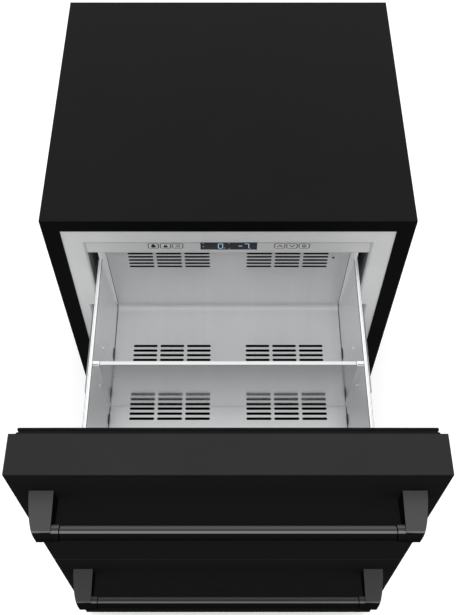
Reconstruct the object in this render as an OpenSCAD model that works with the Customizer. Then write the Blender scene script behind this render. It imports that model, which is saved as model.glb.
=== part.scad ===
// Undercounter freezer with two full-width drawers, drawn with both drawers open.
// Millimetres. +Z is up and -Y faces the user. The floor is at Z = 0.
// Each module is drawn with Y = 0 at the face of the cabinet's front frame. from_front()
// then moves it, so that the origin lies under the middle of the open appliance.

/* [Cabinet] */
// Width of the cabinet and of both drawer fronts
cabinet_w = 606; // [590:1:640]
// Depth from the front frame to the back panel
cabinet_d = 528; // [520:1:600]
// Height of the top panel above the floor
cabinet_h = 876; // [860:1:900]
// Height of the base pan above the floor
base_z = 60; // [50:1:75]
// Thickness of the outer steel sheets
sheet_t = 1; // [0.8:0.1:1.5]
// Thickness of the front frame and of the base pan
frame_t = 1.5; // [1:0.1:2]
// Width of the front frame's bands at the sides
frame_side = 29; // [26:0.5:34]
// Width of the front frame's band at the top
frame_top = 27.5; // [26:0.5:32]
// Width of the frame's mullion above the joint between the fronts
mullion_up = 28.5; // [26:0.5:32]

/* [Liner] */
// Thickness of the moulded liners
liner_t = 2; // [1.5:0.1:3]
// Width of the liner's flange at the bottom of each window
flange_h = 29; // [26:0.5:34]
// Width of the liner's flange at the top of each window
flange_top = 35; // [30:0.5:36]
// Width that the liner's flange reaches behind the front frame
flange_under = 12; // [8:0.5:15]
// From the cabinet's side to the liner's wall beside the slides
wall_w = 50; // [48:0.5:60]
// Width of the liner's ledge above the slides
ledge_w = 15; // [13:0.5:16]
// From the upper liner's back wall to the cabinet's back
back_w = 61; // [55:1:63]
// Depth of the machine compartment
machine_d = 107; // [104:1:109]
// Height of the machine compartment
machine_h = 235; // [225:1:250]

/* [Drawer fronts] */
// Thickness of a drawer front without its seal
front_t = 60; // [45:1:75]
// Gap between the two fronts
front_gap = 4; // [2:0.5:8]
// Gap between the upper front and the level of the cabinet's top
front_drop = 3; // [2:0.5:6]
// Depth of the seal
seal_t = 10; // [8:0.5:14]
// Width of the seal
seal_w = 14; // [10:0.5:16]
// From the side edges of a front to its seal
seal_inset = 11; // [8:0.5:14]
// From the upper and lower edges of a front to its seal
seal_inset_z = 2; // [2:0.5:12]
// Gap between the seal and the front frame when a drawer is shut
seal_gap = 0.4; // [0.3:0.1:0.6]
// Depth of the plate inside the seal
plate_t = 9; // [6:0.5:9.5]

/* [Drawer boxes] */
// How far a drawer slides
stroke = 353.6; // [330:0.1:360]
// From a box's back wall to the rear ends of its slides
box_short = 8.4; // [4:0.1:20]
// Thickness of the box's steel sheet
box_t = 1; // [0.8:0.1:1.2]
// Height of the box's floor above the front's lower edge
floor_z = 115; // [110:0.5:120]
// From the top of the rails up to the front's upper edge
rail_drop = 133; // [125:0.5:145]
// Height of the back wall above the rails
back_rise = 32; // [20:0.5:34]
// Width of the rolled rail along the top of a side wall
rail_w = 6; // [5:0.1:8]
// Height of the rolled rail
rail_h = 10; // [8:0.5:14]
// Gap between the rail and the slides
rail_gap = 15; // [13:0.5:16]
// How much a side wall leans out from floor to rail
side_lean = 10.8; // [6:0.1:12]
// Radius of the bend from the floor to the back wall
bend_r = 10; // [6:0.5:30]

/* [Slots] */
// Length of a slot
slot_l = 44; // [36:0.5:46]
// Height of a slot
slot_h = 5; // [3:0.1:6]
// Distance from row to row
slot_row = 9.7; // [8:0.1:10.5]
// Distance from column to column
slot_column = 49; // [48:0.5:52]
// From the middle to the first column
slot_start = 54; // [50:0.5:60]
// Rows in a group
slot_rows = 5; // [3:1:5]
// From the top of the rails down to the middle of the back wall's group
slot_back_drop = 3; // [0:0.5:10]
// From the back wall to the middle of the floor's rear group
slot_rear = 105.4; // [95:0.1:110]
// From the back wall to the middle of the floor's front group
slot_front = 212.9; // [205:0.1:220]

/* [Divider] */
// From the back wall to the middle of the divider
divider_back = 205.1; // [190:0.1:240]
// Width of the divider's rolled top edge
divider_w = 6.7; // [6:0.1:8]
// Thickness of the divider's sheet
divider_t = 1.5; // [1:0.1:2]
// Height of the rolled top edge
divider_roll_h = 8; // [6:0.5:10]
// From the rail to the end of the rolled top edge
divider_end = 12.5; // [12:0.1:14]

/* [Slides] */
// From the rear ends of the slides to the cabinet's back
slide_behind = 144; // [142:1:160]
// Height of a slide
slide_h = 45; // [35:1:46]
// Height of a slide's middle above the front's lower edge
slide_z = 125.5; // [125:0.5:127]
// Thickness of a slide's steel
slide_t = 1.5; // [1.2:0.1:1.6]
// Width of a slide
slide_w = 12; // [11.5:0.1:12.5]
// Running gap between the members
slide_gap = 0.3; // [0.3:0.05:0.4]

/* [Handles] */
// Radius of the handle bar
bar_r = 10.3; // [8:0.1:12]
// From the front's face to the middle of the bar
bar_out = 54; // [40:0.5:70]
// From the front's upper edge to the middle of the bar
bar_drop = 80; // [60:0.5:110]
// From the front's side edge to a post
post_inset = 24; // [20:0.5:40]
// Width of a post where it meets the front
post_w = 35; // [25:0.5:40]
// Height of a post where it meets the front
post_h = 40; // [30:0.5:50]
// How much a post's outer side draws in towards the bar
post_taper = 14.4; // [0:0.2:16]
// Length of the collar between the post and the bar
collar_l = 10.6; // [8:0.1:14]

/* [Controls] */
// Height of the control panel
panel_h = 29.5; // [27:0.5:30]
// From the front frame's face to the control panel's face
panel_y = 5; // [4:0.5:8]
// Thickness of the control panel
panel_t = 3; // [2:0.1:3]
// How far the middle of the controls lies to the right of the cabinet's middle
controls_x = 1; // [-3:0.5:3]
// Width of the display window
display_w = 95; // [80:1:100]
// Height of the display window
display_h = 21; // [18:0.5:24]
// Width of a key
key_w = 18.4; // [15:0.1:18.8]
// Height of a key
key_h = 14.5; // [12:0.5:16]
// Distance from key to key
key_pitch = 20.4; // [20.4:0.1:21]
// From the middle of the controls to the middle key of each trio
key_trio_x = 105.7; // [98:0.1:115]
// How far a key travels
key_travel = 0.8; // [0.4:0.1:1]

/* [Cooling] */
// Radius of both fans
fan_r = 42; // [38:0.5:43]
// Radius of the compressor's shell
compressor_r = 49; // [45:0.5:49.5]
// Height of the compressor's shell
compressor_h = 148; // [135:1:150]
// Radius of the refrigerant lines
line_r = 3; // [2.5:0.1:4]

/* [Feet] */
// Radius of a levelling foot's pad
foot_r = 22; // [18:0.5:24]
// Height of a foot's pad
foot_pad_h = 10; // [8:0.5:14]
// Radius of a foot's stud
stud_r = 5; // [4:0.1:6]
// From the cabinet's side to a foot's middle
foot_x = 41; // [35:1:60]
// From the front frame's face to the front feet
foot_front_y = 95; // [90:1:120]
// From the cabinet's back to the rear feet
foot_back_y = 48; // [40:1:52]

/* [Hidden] */

black = "#1b1b1c";
satin = "#b9bcbd";
grey = "#b4b5b5";
zinc = "#a3a8ab";
dark = "#303234";
foam = "#e6dcb8";
round_fn = 48;
cut = 1; // how far a cut runs past a face, so that it leaves no skin

// Levels and planes of the cabinet
front_h = (cabinet_h - front_drop - base_z - front_gap) / 2;
front_pitch = front_h + front_gap;
lower_z = base_z;
upper_z = base_z + front_pitch;
inner_x = cabinet_w / 2 - sheet_t;
inner_top = cabinet_h - sheet_t;
back_y = cabinet_d - sheet_t;
pan_top = base_z + frame_t;
window_x = cabinet_w / 2 - frame_side;
window_lo = mullion_up - front_gap / 2;
window_hi = cabinet_h - frame_top - upper_z;

// Liner cavity, with heights above a front's lower edge
cavity_x = cabinet_w / 2 - wall_w;
cavity_top_x = cavity_x - ledge_w;
cavity_lo = window_lo + flange_h;
cavity_hi = window_hi - flange_top;
ledge_z = slide_z + slide_h / 2 + 3.5;
upper_liner_y = cabinet_d - back_w;
machine_y = back_y - machine_d;
machine_top = pan_top + machine_h;

// Drawer in its shut place; opened() then moves it out by the stroke
plate_y = -seal_gap - seal_t;
box_y = plate_y + plate_t;
face_y = plate_y - front_t;
slide_y = 4; // the slides start just behind the flange
slide_l = cabinet_d - slide_behind - slide_y;
box_back_y = slide_y + slide_l - box_short;
box_l = box_back_y - box_y;
rail_z = front_h - rail_drop;
rail_x = cavity_x - slide_w - rail_gap;
wall_top_x = rail_x - rail_w;
wall_low_x = wall_top_x - side_lean;
wall_lean = side_lean / (rail_z - floor_z);
back_z = rail_z + back_rise;
tray_over = 2.3; // how far the tray reaches past the inside of a side wall
divider_y = box_back_y - divider_back;
divider_front = divider_y - divider_w / 2;
divider_x = rail_x - rail_w - divider_end;
tongue_l = 3; // how far the divider's sheet reaches past its rolled edge, into the guide
tongue_low_x = wall_low_x - 1.2; // end of the divider's sheet at the floor
guide_gap = 0.3;
guide_t = 1; // thickness of a guide's front fin
floor_gap = 0.3;
shelf_t = 1.5;
shelf_w = 20; // how far the slides' shelf reaches under the drawer box
shelf_x = wall_low_x - shelf_w;

// Evaporator space and liner depths
slide_end_gap = 2;
lower_liner_y = slide_y + slide_l + slide_end_gap + liner_t;
cover_y = slide_y + slide_l + slide_end_gap;
cover_t = 2;
evap_gap = 9;
evap_inset = 48; // from the liner's wall beside the rails to the coil's end plates
evap_x = cavity_top_x - evap_inset;
evap_raise = 8;
evap_h = 97;
evap_lo = upper_z + cavity_lo + evap_raise;
evap_hi = evap_lo + evap_h;
evap_d = 48;
evap_rows = 4;
fin_t = 1.5;
tube_r = 4;

// Handles
bar_y = face_y - bar_out;
bar_z = front_h - bar_drop;
post_out_x = cabinet_w / 2 - post_inset;
post_in_x = post_out_x - post_w;
post_r = bar_r + 2;
// Outer side of a post seen from above: shares of its depth, and of its taper there
post_curve = [[0, 0], [0.205, 0.062], [0.377, 0.16], [0.569, 0.264], [0.649, 0.34],
              [0.742, 0.444], [0.814, 0.54], [0.875, 0.646], [0.943, 0.806], [1, 1]];
collar_r = bar_r + 1.3;
joint_w = 0.5;
joint_r = bar_r - 1.5;
collar_x = post_in_x - collar_l;

// Controls
control_z = upper_z + cavity_hi - panel_h;
key_rise = 19;
key_z = control_z + key_rise;
key_round = 3;
display_drop = 1; // from the panel's upper edge to the display
display_z = control_z + panel_h - display_drop - display_h / 2;
panel_depth = 35; // how far the panel's floor reaches back
panel_floor_t = 2;
stem_side = 0.7; // how far a key's stem reaches past its cap at each side
stem_rise = 1.2; // and above and below
key_clear = 0.3;
key_out = 0.5; // how far a key stands out of the panel
key_stem_t = 1;
key_gap = 0.3;
board_t = 1.6;
switch_y = panel_y + panel_t + key_gap + key_stem_t + key_travel + key_gap;
switch_h = 1.6;
switch_r = 3;
board_y = switch_y + switch_h;
board_past = 24;
board_x = key_trio_x + key_pitch + board_past;
board_rise = 6; // from the panel's underside to the board
board_h = 21;

// Fans: axis along their own +Z, blades from 0 to fan_l
fan_l = 16;
hub_r = 14;
shaft_r = 2.5;
shaft_clear = 0.05;
motor_gap = 0.5;
motor_r = 20;
motor_l = 18;
blade_count = 5;
arm_w = 12;
arm_t = 3;
arm_past = 9; // how far the motor's bracket reaches past the blades
fan_gap = 6; // from the cover's back to the evaporator fan
evap_fan_rise = 12;
evap_fan_z = evap_hi + evap_fan_rise + fan_r;

// Machine compartment
middle_y = machine_y + machine_d / 2;
compressor_x = inner_x - 192;
dome_r = 14;
grommet_h = 12;
grommet_r = 9;
grommet_neck_r = 5;
grommet_top_h = 4;
grommet_x = 64;
grommet_y = 36;
plate_foot_t = 2;
plate_past = 10; // how far the foot plate reaches past the grommets
terminal_w = 22;
terminal_d = 32;
terminal_z = 50;
terminal_h = 42;
shell_z = pan_top + grommet_h + plate_foot_t;
pan_side = 60;
pan_out = 80;
pan_d = 88;
pan_h = 24;
pan_t = 2;
condenser_x0 = 56 - inner_x;
condenser_w = 70;
condenser_x1 = condenser_x0 + condenser_w;
condenser_rows = 5;
condenser_gap = 12; // from the compartment's walls and floor to the condenser
condenser_lo = pan_top + condenser_gap;
condenser_h = 153;
condenser_hi = condenser_lo + condenser_h;
cond_fan_x = condenser_x1 + 40;
cond_fan_z = pan_top + 80;
shroud_t = 2;
shroud_h = 160;
shroud_front = 8; // from the shroud's face to the fan
coil_end = 4; // how far a coil's tubes reach past its end plates
suction_h = 150;
suction_over = 215;
discharge_h = 110;
discharge_over = 200;
inlet_x = inner_x - 67;
inlet_z = base_z + 55;
inlet_w = 28;
inlet_h = 22;
inlet_depth = 24;
inlet_flange_t = 2;
inlet_flange_w = 7;

// Feet
foot_px = cabinet_w / 2 - foot_x;
foot_by = cabinet_d - foot_back_y;
boss_h = 10;
boss_r = stud_r + 4;
stud_clear = 0.05;
stud_past = 2;
nut_h = 6;

// Fixing holes for a bracket that keeps the appliance from tipping
fixing_x = 200;
fixing_z = cabinet_h - 40;
fixing_r = 2.6;

// Front plane in the appliance's own frame
front_reach = stroke - bar_y + post_r;
front_y = (front_reach - cabinet_d) / 2;

module from_front() translate([0, front_y, 0]) children();
module upper() translate([0, 0, upper_z]) children();
module lower() translate([0, 0, lower_z]) children();
module opened(share = 1) translate([0, -stroke * share, 0]) children();
module both_sides() for (s = [0, 1]) mirror([s, 0, 0]) children();

// A box from its low corner to its high corner
module block(low, high) translate(low) cube(high - low);

// An outline in X and Z, drawn out along Y
module along_y(y0, y1) translate([0, y1, 0]) rotate([90, 0, 0]) linear_extrude(y1 - y0) children();

// An outline in Y and Z, drawn out along X
module along_x(x0, x1) translate([x0, 0, 0]) rotate([90, 0, 90]) linear_extrude(x1 - x0) children();

module rod_y(r, y0, y1) translate([0, y1, 0]) rotate([90, 0, 0]) cylinder(r = r, h = y1 - y0, $fn = round_fn);
module rod_x(r, x0, x1) translate([x0, 0, 0]) rotate([0, 90, 0]) cylinder(r = r, h = x1 - x0, $fn = round_fn);

module rounded(w, h, r) {
    square([w - 2 * r, h], center = true);
    square([w, h - 2 * r], center = true);
    for (x = [-1, 1], y = [-1, 1])
        translate([x * (w / 2 - r), y * (h / 2 - r)]) circle(r = r, $fn = round_fn);
}

// A slot with round ends, lying along its own X
module slot(l, h) {
    square([l - h, h], center = true);
    for (s = [-1, 1]) translate([s * (l - h) / 2, 0]) circle(d = h, $fn = 32);
}

// One group of slots: six columns, centred on its own origin
module slot_group() {
    for (s = [-1, 1], c = [0:2], r = [0:slot_rows - 1])
        translate([s * (slot_start + c * slot_column), (r - (slot_rows - 1) / 2) * slot_row])
            slot(slot_l, slot_h);
}

// A pipe through a list of points, with a brazed ball at each bend
module pipe(points, r) {
    for (i = [0:len(points) - 2]) {
        step = points[i + 1] - points[i];
        translate(points[i])
            rotate([0, acos(step[2] / norm(step)), atan2(step[1], step[0])])
                cylinder(r = r, h = norm(step), $fn = round_fn);
    }
    for (i = [1:len(points) - 2]) translate(points[i]) sphere(r = r + 0.5, $fn = round_fn);
}

// CABINET

module top_panel() color(black)
    block([-cabinet_w / 2, 0, inner_top], [cabinet_w / 2, cabinet_d, cabinet_h]);

module side_panel() color(black)
    block([inner_x, frame_t, base_z], [cabinet_w / 2, back_y, inner_top]);

module side_panel_left() mirror([1, 0, 0]) side_panel();
module side_panel_right() side_panel();

module back_panel() color(zinc)
    difference() {
        block([-cabinet_w / 2, back_y, machine_top + frame_t], [cabinet_w / 2, cabinet_d, inner_top]);
        for (s = [-1, 1])
            translate([s * fixing_x, 0, fixing_z]) rod_y(fixing_r, back_y - cut, cabinet_d + cut);
    }

module foot_places() {
    for (x = [-foot_px, foot_px], y = [foot_front_y, foot_by]) translate([x, y, 0]) children();
}

// Floor of the cabinet, with the machine compartment's front wall and ceiling folded from it
module base_pan() color(zinc)
    difference() {
        union() {
            block([-inner_x, frame_t, base_z], [inner_x, back_y, pan_top]);
            block([-inner_x, machine_y - frame_t, base_z], [inner_x, machine_y, machine_top + frame_t]);
            block([-inner_x, machine_y - frame_t, machine_top], [inner_x, back_y, machine_top + frame_t]);
            foot_places() translate([0, 0, base_z])
                cylinder(r = boss_r, h = frame_t + boss_h, $fn = round_fn);
        }
        foot_places() translate([0, 0, base_z - cut])
            cylinder(r = stud_r + stud_clear, h = frame_t + boss_h + 2 * cut, $fn = round_fn);
        translate([line_down[0], line_down[1], machine_top - cut])
            cylinder(r = line_hole_r, h = frame_t + 2 * cut, $fn = round_fn);
    }

module window_outline() translate([-window_x, window_lo]) square([2 * window_x, window_hi - window_lo]);

module front_frame() color(black)
    difference() {
        block([-cabinet_w / 2, 0, base_z], [cabinet_w / 2, frame_t, inner_top]);
        upper() along_y(-cut, frame_t + cut) window_outline();
        lower() along_y(-cut, frame_t + cut) window_outline();
    }

// Liner cavity's outline, wider beside the slides, grown by a wall
module cavity_outline(grow = 0) {
    translate([-cavity_x - grow, cavity_lo - grow])
        square([2 * (cavity_x + grow), ledge_z - cavity_lo + 2 * grow]);
    translate([-cavity_top_x - grow, cavity_lo - grow])
        square([2 * (cavity_top_x + grow), cavity_hi - cavity_lo + 2 * grow]);
}

module flange_outline() translate([-window_x - flange_under, window_lo - flange_under])
    square([2 * (window_x + flange_under), window_hi - window_lo + 2 * flange_under]);

module liner(depth_y) color(grey)
    difference() {
        union() {
            along_y(frame_t, frame_t + liner_t) flange_outline();
            along_y(frame_t, depth_y) cavity_outline(liner_t);
        }
        along_y(frame_t - cut, depth_y - liner_t) cavity_outline();
    }

// The suction line leaves the evaporator's lowest tube and turns down inside the foam
evap_y = cover_y + evap_gap + evap_d / 2;
line_down = [-evap_x - 16, upper_liner_y + 24, 0];
line_hole_r = line_r + 1.5;
line_out_z = evap_lo + (evap_hi - evap_lo) / evap_rows / 2;

module upper_liner()
    difference() {
        upper() liner(upper_liner_y);
        translate([line_down[0], 0, line_out_z]) color(grey)
            rod_y(line_hole_r, upper_liner_y - liner_t - cut, upper_liner_y + cut);
    }

module lower_liner() lower() liner(lower_liner_y);

module insulation_foam() color(foam)
    difference() {
        block([-inner_x, frame_t + liner_t, pan_top], [inner_x, back_y, inner_top]);
        upper() along_y(0, upper_liner_y) cavity_outline(liner_t);
        lower() along_y(0, lower_liner_y) cavity_outline(liner_t);
        block([-inner_x - cut, machine_y - frame_t, base_z],
              [inner_x + cut, cabinet_d, machine_top + frame_t]);
        foot_places() translate([0, 0, base_z])
            cylinder(r = boss_r + 1, h = frame_t + boss_h + stud_past + 2, $fn = round_fn);
        for (s = [-1, 1]) translate([s * fixing_x, 0, fixing_z]) rod_y(6, back_y - 12, back_y + cut);
        translate([line_down[0], 0, line_out_z]) rod_y(line_hole_r, upper_liner_y - cut, line_down[1]);
        translate([line_down[0], line_down[1], base_z])
            cylinder(r = line_hole_r, h = line_out_z - base_z, $fn = round_fn);
        translate([line_down[0], line_down[1], line_out_z]) sphere(r = line_hole_r, $fn = round_fn);
    }

// CONTROLS

// Keys 0 to 2 are the left trio, and 3 to 5 the right one
function key_x(i) = controls_x + (i < 3 ? -key_trio_x : key_trio_x) + (i % 3 - 1) * key_pitch;

module key_outline(grow = 0) rounded(key_w + 2 * grow, key_h + 2 * grow, key_round + grow);

module control_panel() color(grey)
    difference() {
        union() {
            block([-cavity_top_x, panel_y, control_z],
                  [cavity_top_x, panel_y + panel_t, control_z + panel_h]);
            block([-cavity_top_x, panel_y, control_z],
                  [cavity_top_x, panel_y + panel_depth, control_z + panel_floor_t]);
        }
        translate([controls_x, 0, display_z])
            along_y(panel_y - cut, panel_y + panel_t + cut) square([display_w, display_h], center = true);
        for (i = [0:5])
            translate([key_x(i), 0, key_z])
                along_y(panel_y - cut, panel_y + panel_t + cut) key_outline(key_clear);
    }

module display_window() color("#0b1118")
    translate([controls_x, 0, display_z])
        along_y(panel_y, panel_y + panel_t) square([display_w, display_h], center = true);

module control_board() color("#1f5a3a") {
    block([controls_x - board_x, board_y, control_z + board_rise],
          [controls_x + board_x, board_y + board_t, control_z + board_rise + board_h]);
    for (i = [0:5]) translate([key_x(i), 0, key_z]) rod_y(switch_r, switch_y, board_y);
    translate([controls_x, 0, display_z])
        along_y(panel_y + panel_t, board_y) square([display_w - 10, display_h - 6], center = true);
}

// A key cap with a stem behind the panel that is wider than its hole
module key(i) color("#c2c4c5")
    translate([key_x(i), 0, key_z]) {
        along_y(panel_y - key_out, panel_y + panel_t + key_gap) key_outline();
        along_y(panel_y + panel_t + key_gap, panel_y + panel_t + key_gap + key_stem_t)
            square([key_w + 2 * stem_side, key_h + 2 * stem_rise], center = true);
    }

// COOLING

module fan_rotor() color("#d9dcdd")
    difference() {
        union() {
            cylinder(r = hub_r, h = fan_l, $fn = round_fn);
            for (i = [0:blade_count - 1])
                rotate([0, 0, i * 360 / blade_count])
                    translate([(hub_r - 1 + fan_r - 2) / 2, 0, fan_l / 2])
                        rotate([35, 0, 0]) cube([fan_r - 2 - hub_r + 1, 20, 1.5], center = true);
        }
        translate([0, 0, -cut]) cylinder(r = shaft_r + shaft_clear, h = fan_l + 2 * cut, $fn = round_fn);
    }

// Motor behind a rotor, with the shaft that carries it and two arms of a given reach to the front
module fan_motor(arm_z) {
    translate([0, 0, -1]) cylinder(r = shaft_r, h = fan_l + motor_gap + 1.5, $fn = round_fn);
    translate([0, 0, fan_l + motor_gap]) cylinder(r = motor_r, h = motor_l, $fn = round_fn);
    motor_back = fan_l + motor_gap + motor_l;
    arm_x = fan_r + arm_past;
    block([-arm_x, -arm_w / 2, motor_back - arm_t], [arm_x, arm_w / 2, motor_back]);
    both_sides() block([arm_x - arm_t, -arm_w / 2, arm_z], [arm_x, arm_w / 2, motor_back]);
}

// Fins across X on a snaking tube, between two end plates that reach down to foot_z
module finned_coil(x0, x1, y0, y1, z0, z1, foot_z, fins, rows) color("#c9ccce") {
    row_pitch = (z1 - z0) / rows;
    for (i = [1:fins - 2]) {
        x = x0 + i * (x1 - x0) / (fins - 1);
        block([x - fin_t / 2, y0, z0], [x + fin_t / 2, y1, z1]);
    }
    for (x = [x0, x1]) block([x - fin_t / 2, y0, foot_z], [x + fin_t / 2, y1, z1]);
    for (r = [0:rows - 1])
        translate([0, (y0 + y1) / 2, z0 + (r + 0.5) * row_pitch])
            rod_x(tube_r, x0 - coil_end, x1 + coil_end);
    for (r = [0:rows - 2]) {
        end_x = r % 2 == 0 ? x1 + coil_end : x0 - coil_end;
        translate([end_x, (y0 + y1) / 2, z0 + (r + 1) * row_pitch])
            rotate([90, 0, r % 2 == 0 ? 0 : 180])
                rotate([0, 0, -90]) rotate_extrude(angle = 180, $fn = round_fn)
                    translate([row_pitch / 2, 0]) circle(r = tube_r, $fn = 24);
    }
}

cover_slots_z = 30; // from the liner's floor to the middle of the cover's slots

module evaporator_cover() color("#dfe1e1") upper()
    difference() {
        union() {
            along_y(cover_y, cover_y + cover_t) translate([-cavity_top_x, cavity_lo])
                square([2 * cavity_top_x, cavity_hi - cavity_lo]);
            both_sides() block([cavity_top_x - cover_t, cover_y, ledge_z],
                               [cavity_top_x, upper_liner_y - liner_t, cavity_hi]);
        }
        translate([0, 0, evap_fan_z - upper_z])
            rod_y(fan_r + arm_past - arm_t - 2, cover_y - cut, cover_y + cover_t + cut);
        along_y(cover_y - cut, cover_y + cover_t + cut)
            translate([0, cavity_lo + cover_slots_z]) slot_group();
    }

module evaporator()
    finned_coil(-evap_x, evap_x, evap_y - evap_d / 2, evap_y + evap_d / 2, evap_lo, evap_hi,
                upper_z + cavity_lo, 14, evap_rows);

// The evaporator fan's axis runs back from the cover
module evaporator_fan_place()
    translate([0, cover_y + cover_t + fan_gap, evap_fan_z]) rotate([-90, 0, 0]) children();
module evaporator_fan() evaporator_fan_place() fan_rotor();
module evaporator_fan_motor() color(dark) evaporator_fan_place() fan_motor(-fan_gap);

module compressor() color(dark) {
    translate([compressor_x, middle_y, shell_z]) {
        rotate_extrude($fn = 64) {
            square([compressor_r - dome_r, compressor_h]);
            translate([0, dome_r]) square([compressor_r, compressor_h - 2 * dome_r]);
            for (z = [dome_r, compressor_h - dome_r])
                translate([compressor_r - dome_r, z]) circle(r = dome_r, $fn = round_fn);
        }
        block([compressor_r - plate_past, -terminal_d / 2, terminal_z],
              [compressor_r + terminal_w, terminal_d / 2, terminal_z + terminal_h]);
    }
    plate_x = grommet_x + plate_past;
    plate_y = grommet_y + plate_past;
    difference() {
        block([compressor_x - plate_x, middle_y - plate_y, shell_z - plate_foot_t],
              [compressor_x + plate_x, middle_y + plate_y, shell_z]);
        grommet_places() cylinder(r = grommet_neck_r, h = 4 * plate_foot_t, center = true, $fn = 32);
    }
}

module grommet_places() {
    for (x = [-grommet_x, grommet_x], y = [-grommet_y, grommet_y])
        translate([compressor_x + x, middle_y + y, shell_z]) children();
}

module compressor_grommets() color("#1a1a1a")
    grommet_places() {
        translate([0, 0, -plate_foot_t - grommet_h]) cylinder(r = grommet_r, h = grommet_h, $fn = 32);
        translate([0, 0, -plate_foot_t]) cylinder(r = grommet_neck_r, h = plate_foot_t, $fn = 32);
        cylinder(r = grommet_r, h = grommet_top_h, $fn = 32);
    }

module condenser()
    finned_coil(condenser_x0, condenser_x1, machine_y + condenser_gap, back_y - condenser_gap,
                condenser_lo, condenser_hi, pan_top, 12, condenser_rows);

module condenser_fan_place()
    translate([cond_fan_x, middle_y, cond_fan_z]) rotate([0, 90, 0]) children();
module condenser_fan() condenser_fan_place() fan_rotor();

module condenser_fan_shroud() color(dark) {
    shroud_x = cond_fan_x - shroud_front;
    difference() {
        block([shroud_x - shroud_t, machine_y + 1, pan_top], [shroud_x, back_y - 1, pan_top + shroud_h]);
        translate([0, middle_y, cond_fan_z]) rod_x(fan_r + 3, shroud_x - shroud_t - cut, shroud_x + cut);
    }
    condenser_fan_place() fan_motor(-shroud_front);
}

// Suction line down from the evaporator, and discharge line over to the condenser's top tube
module refrigerant_lines() color("#b87346") {
    suction_z = pan_top + suction_h;
    over_z = pan_top + suction_over;
    over_x = compressor_x - 200;
    suction_x = compressor_x - compressor_r + 2;
    pipe([[-evap_x - coil_end + 1, evap_y, line_out_z],
          [line_down[0], evap_y, line_out_z],
          [line_down[0], line_down[1], line_out_z],
          [line_down[0], line_down[1], over_z],
          [over_x, line_down[1], over_z],
          [over_x, line_down[1], suction_z],
          [over_x, middle_y, suction_z],
          [suction_x, middle_y, suction_z]], line_r);
    discharge_z = pan_top + discharge_h;
    top_z = pan_top + discharge_over;
    side_y = middle_y - 24;
    turn_x = compressor_x - compressor_r - 35;
    drop_x = condenser_x1 + coil_end + 8;
    tube_z = condenser_hi - (condenser_hi - condenser_lo) / condenser_rows / 2;
    pipe([[compressor_x - compressor_r + 8, side_y, discharge_z],
          [turn_x, side_y, discharge_z],
          [turn_x, side_y, top_z],
          [drop_x, side_y, top_z],
          [drop_x, middle_y, top_z],
          [drop_x, middle_y, tube_z],
          [condenser_x1 + coil_end - 1, middle_y, tube_z]], line_r);
}

module drain_pan() color("#3b3d3f")
    translate([compressor_x, middle_y, shell_z + compressor_h])
        difference() {
            block([-pan_side, -pan_d / 2, 0], [pan_out, pan_d / 2, pan_h]);
            block([pan_t - pan_side, pan_t - pan_d / 2, pan_t],
                  [pan_out - pan_t, pan_d / 2 - pan_t, pan_h + cut]);
        }

louvre_l = 70;
louvre_h = 6;
louvre_row = 15;
louvre_z = 50; // from the base pan to the lowest louvres

module machine_cover() color(zinc)
    difference() {
        block([-cabinet_w / 2, back_y, base_z], [cabinet_w / 2, cabinet_d, machine_top + frame_t]);
        for (x = [(condenser_x0 + condenser_x1) / 2 - 19, cond_fan_x - 4, compressor_x], r = [0:7])
            translate([x, 0, pan_top + louvre_z + r * louvre_row])
                along_y(back_y - cut, cabinet_d + cut) slot(louvre_l, louvre_h);
        translate([inlet_x, 0, inlet_z])
            along_y(back_y - cut, cabinet_d + cut) square([inlet_w, inlet_h], center = true);
    }

// Appliance inlet: a socket with three blades, held by a flange behind the cover
module power_inlet() color(dark) translate([inlet_x, 0, inlet_z]) {
    difference() {
        union() {
            along_y(back_y - inlet_depth, cabinet_d) square([inlet_w, inlet_h], center = true);
            along_y(back_y - inlet_flange_t, back_y)
                square([inlet_w + 2 * inlet_flange_w, inlet_h + inlet_flange_w], center = true);
        }
        along_y(back_y - inlet_depth + 6, cabinet_d + cut) rounded(inlet_w - 4, inlet_h - 5, 3);
    }
    for (p = [[-7, -2], [0, 3], [7, -2]])
        translate([p[0], 0, p[1]])
            along_y(back_y - inlet_depth + 5, back_y - 3) square([2, 4.5], center = true);
}

// TOE KICK AND FEET

kick_y = 52;
kick_x = inner_x - 13;
kick_lo = 8;
kick_fold = 15; // depth of the fold under the base pan

module toe_kick_grille() color(black)
    difference() {
        union() {
            block([-kick_x, kick_y, kick_lo], [kick_x, kick_y + frame_t, base_z]);
            block([-kick_x, kick_y, base_z - frame_t], [kick_x, kick_y + kick_fold, base_z]);
        }
        for (c = [-4:4], r = [0:2])
            translate([c * kick_x / 4.8, 0, kick_lo + 14 + r * 12])
                along_y(kick_y - cut, kick_y + frame_t + cut) slot(48, 5);
    }

module foot(x, y) color("#2a2a2b") translate([x, y, 0]) {
    cylinder(r = foot_r, h = foot_pad_h * 0.6, $fn = 64);
    cylinder(r = foot_r - 5, h = foot_pad_h, $fn = 64);
    translate([0, 0, foot_pad_h]) cylinder(r = stud_r + 5, h = nut_h, $fn = 6);
    cylinder(r = stud_r, h = base_z + frame_t + boss_h + stud_past, $fn = round_fn);
}

// SLIDES: each member's section lies beside the liner's wall, on the right side

slide_lo = slide_z - slide_h / 2;
slide_hi = slide_z + slide_h / 2;
slide_in_x = cavity_x - slide_w;

// A channel that opens to the left: web from web_x outward, lips reaching in to lip_x
module channel(web_x, lip_x, lo, hi) {
    translate([web_x, lo]) square([slide_t, hi - lo]);
    translate([lip_x, lo]) square([web_x + slide_t - lip_x, slide_t]);
    translate([lip_x, hi - slide_t]) square([web_x + slide_t - lip_x, slide_t]);
}

nest = slide_t + slide_gap; // what each member takes from the next on a side

module slide_outers() color(zinc) both_sides()
    along_y(slide_y, slide_y + slide_l)
        channel(cavity_x - slide_t, slide_in_x + 2, slide_lo, slide_hi);

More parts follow.
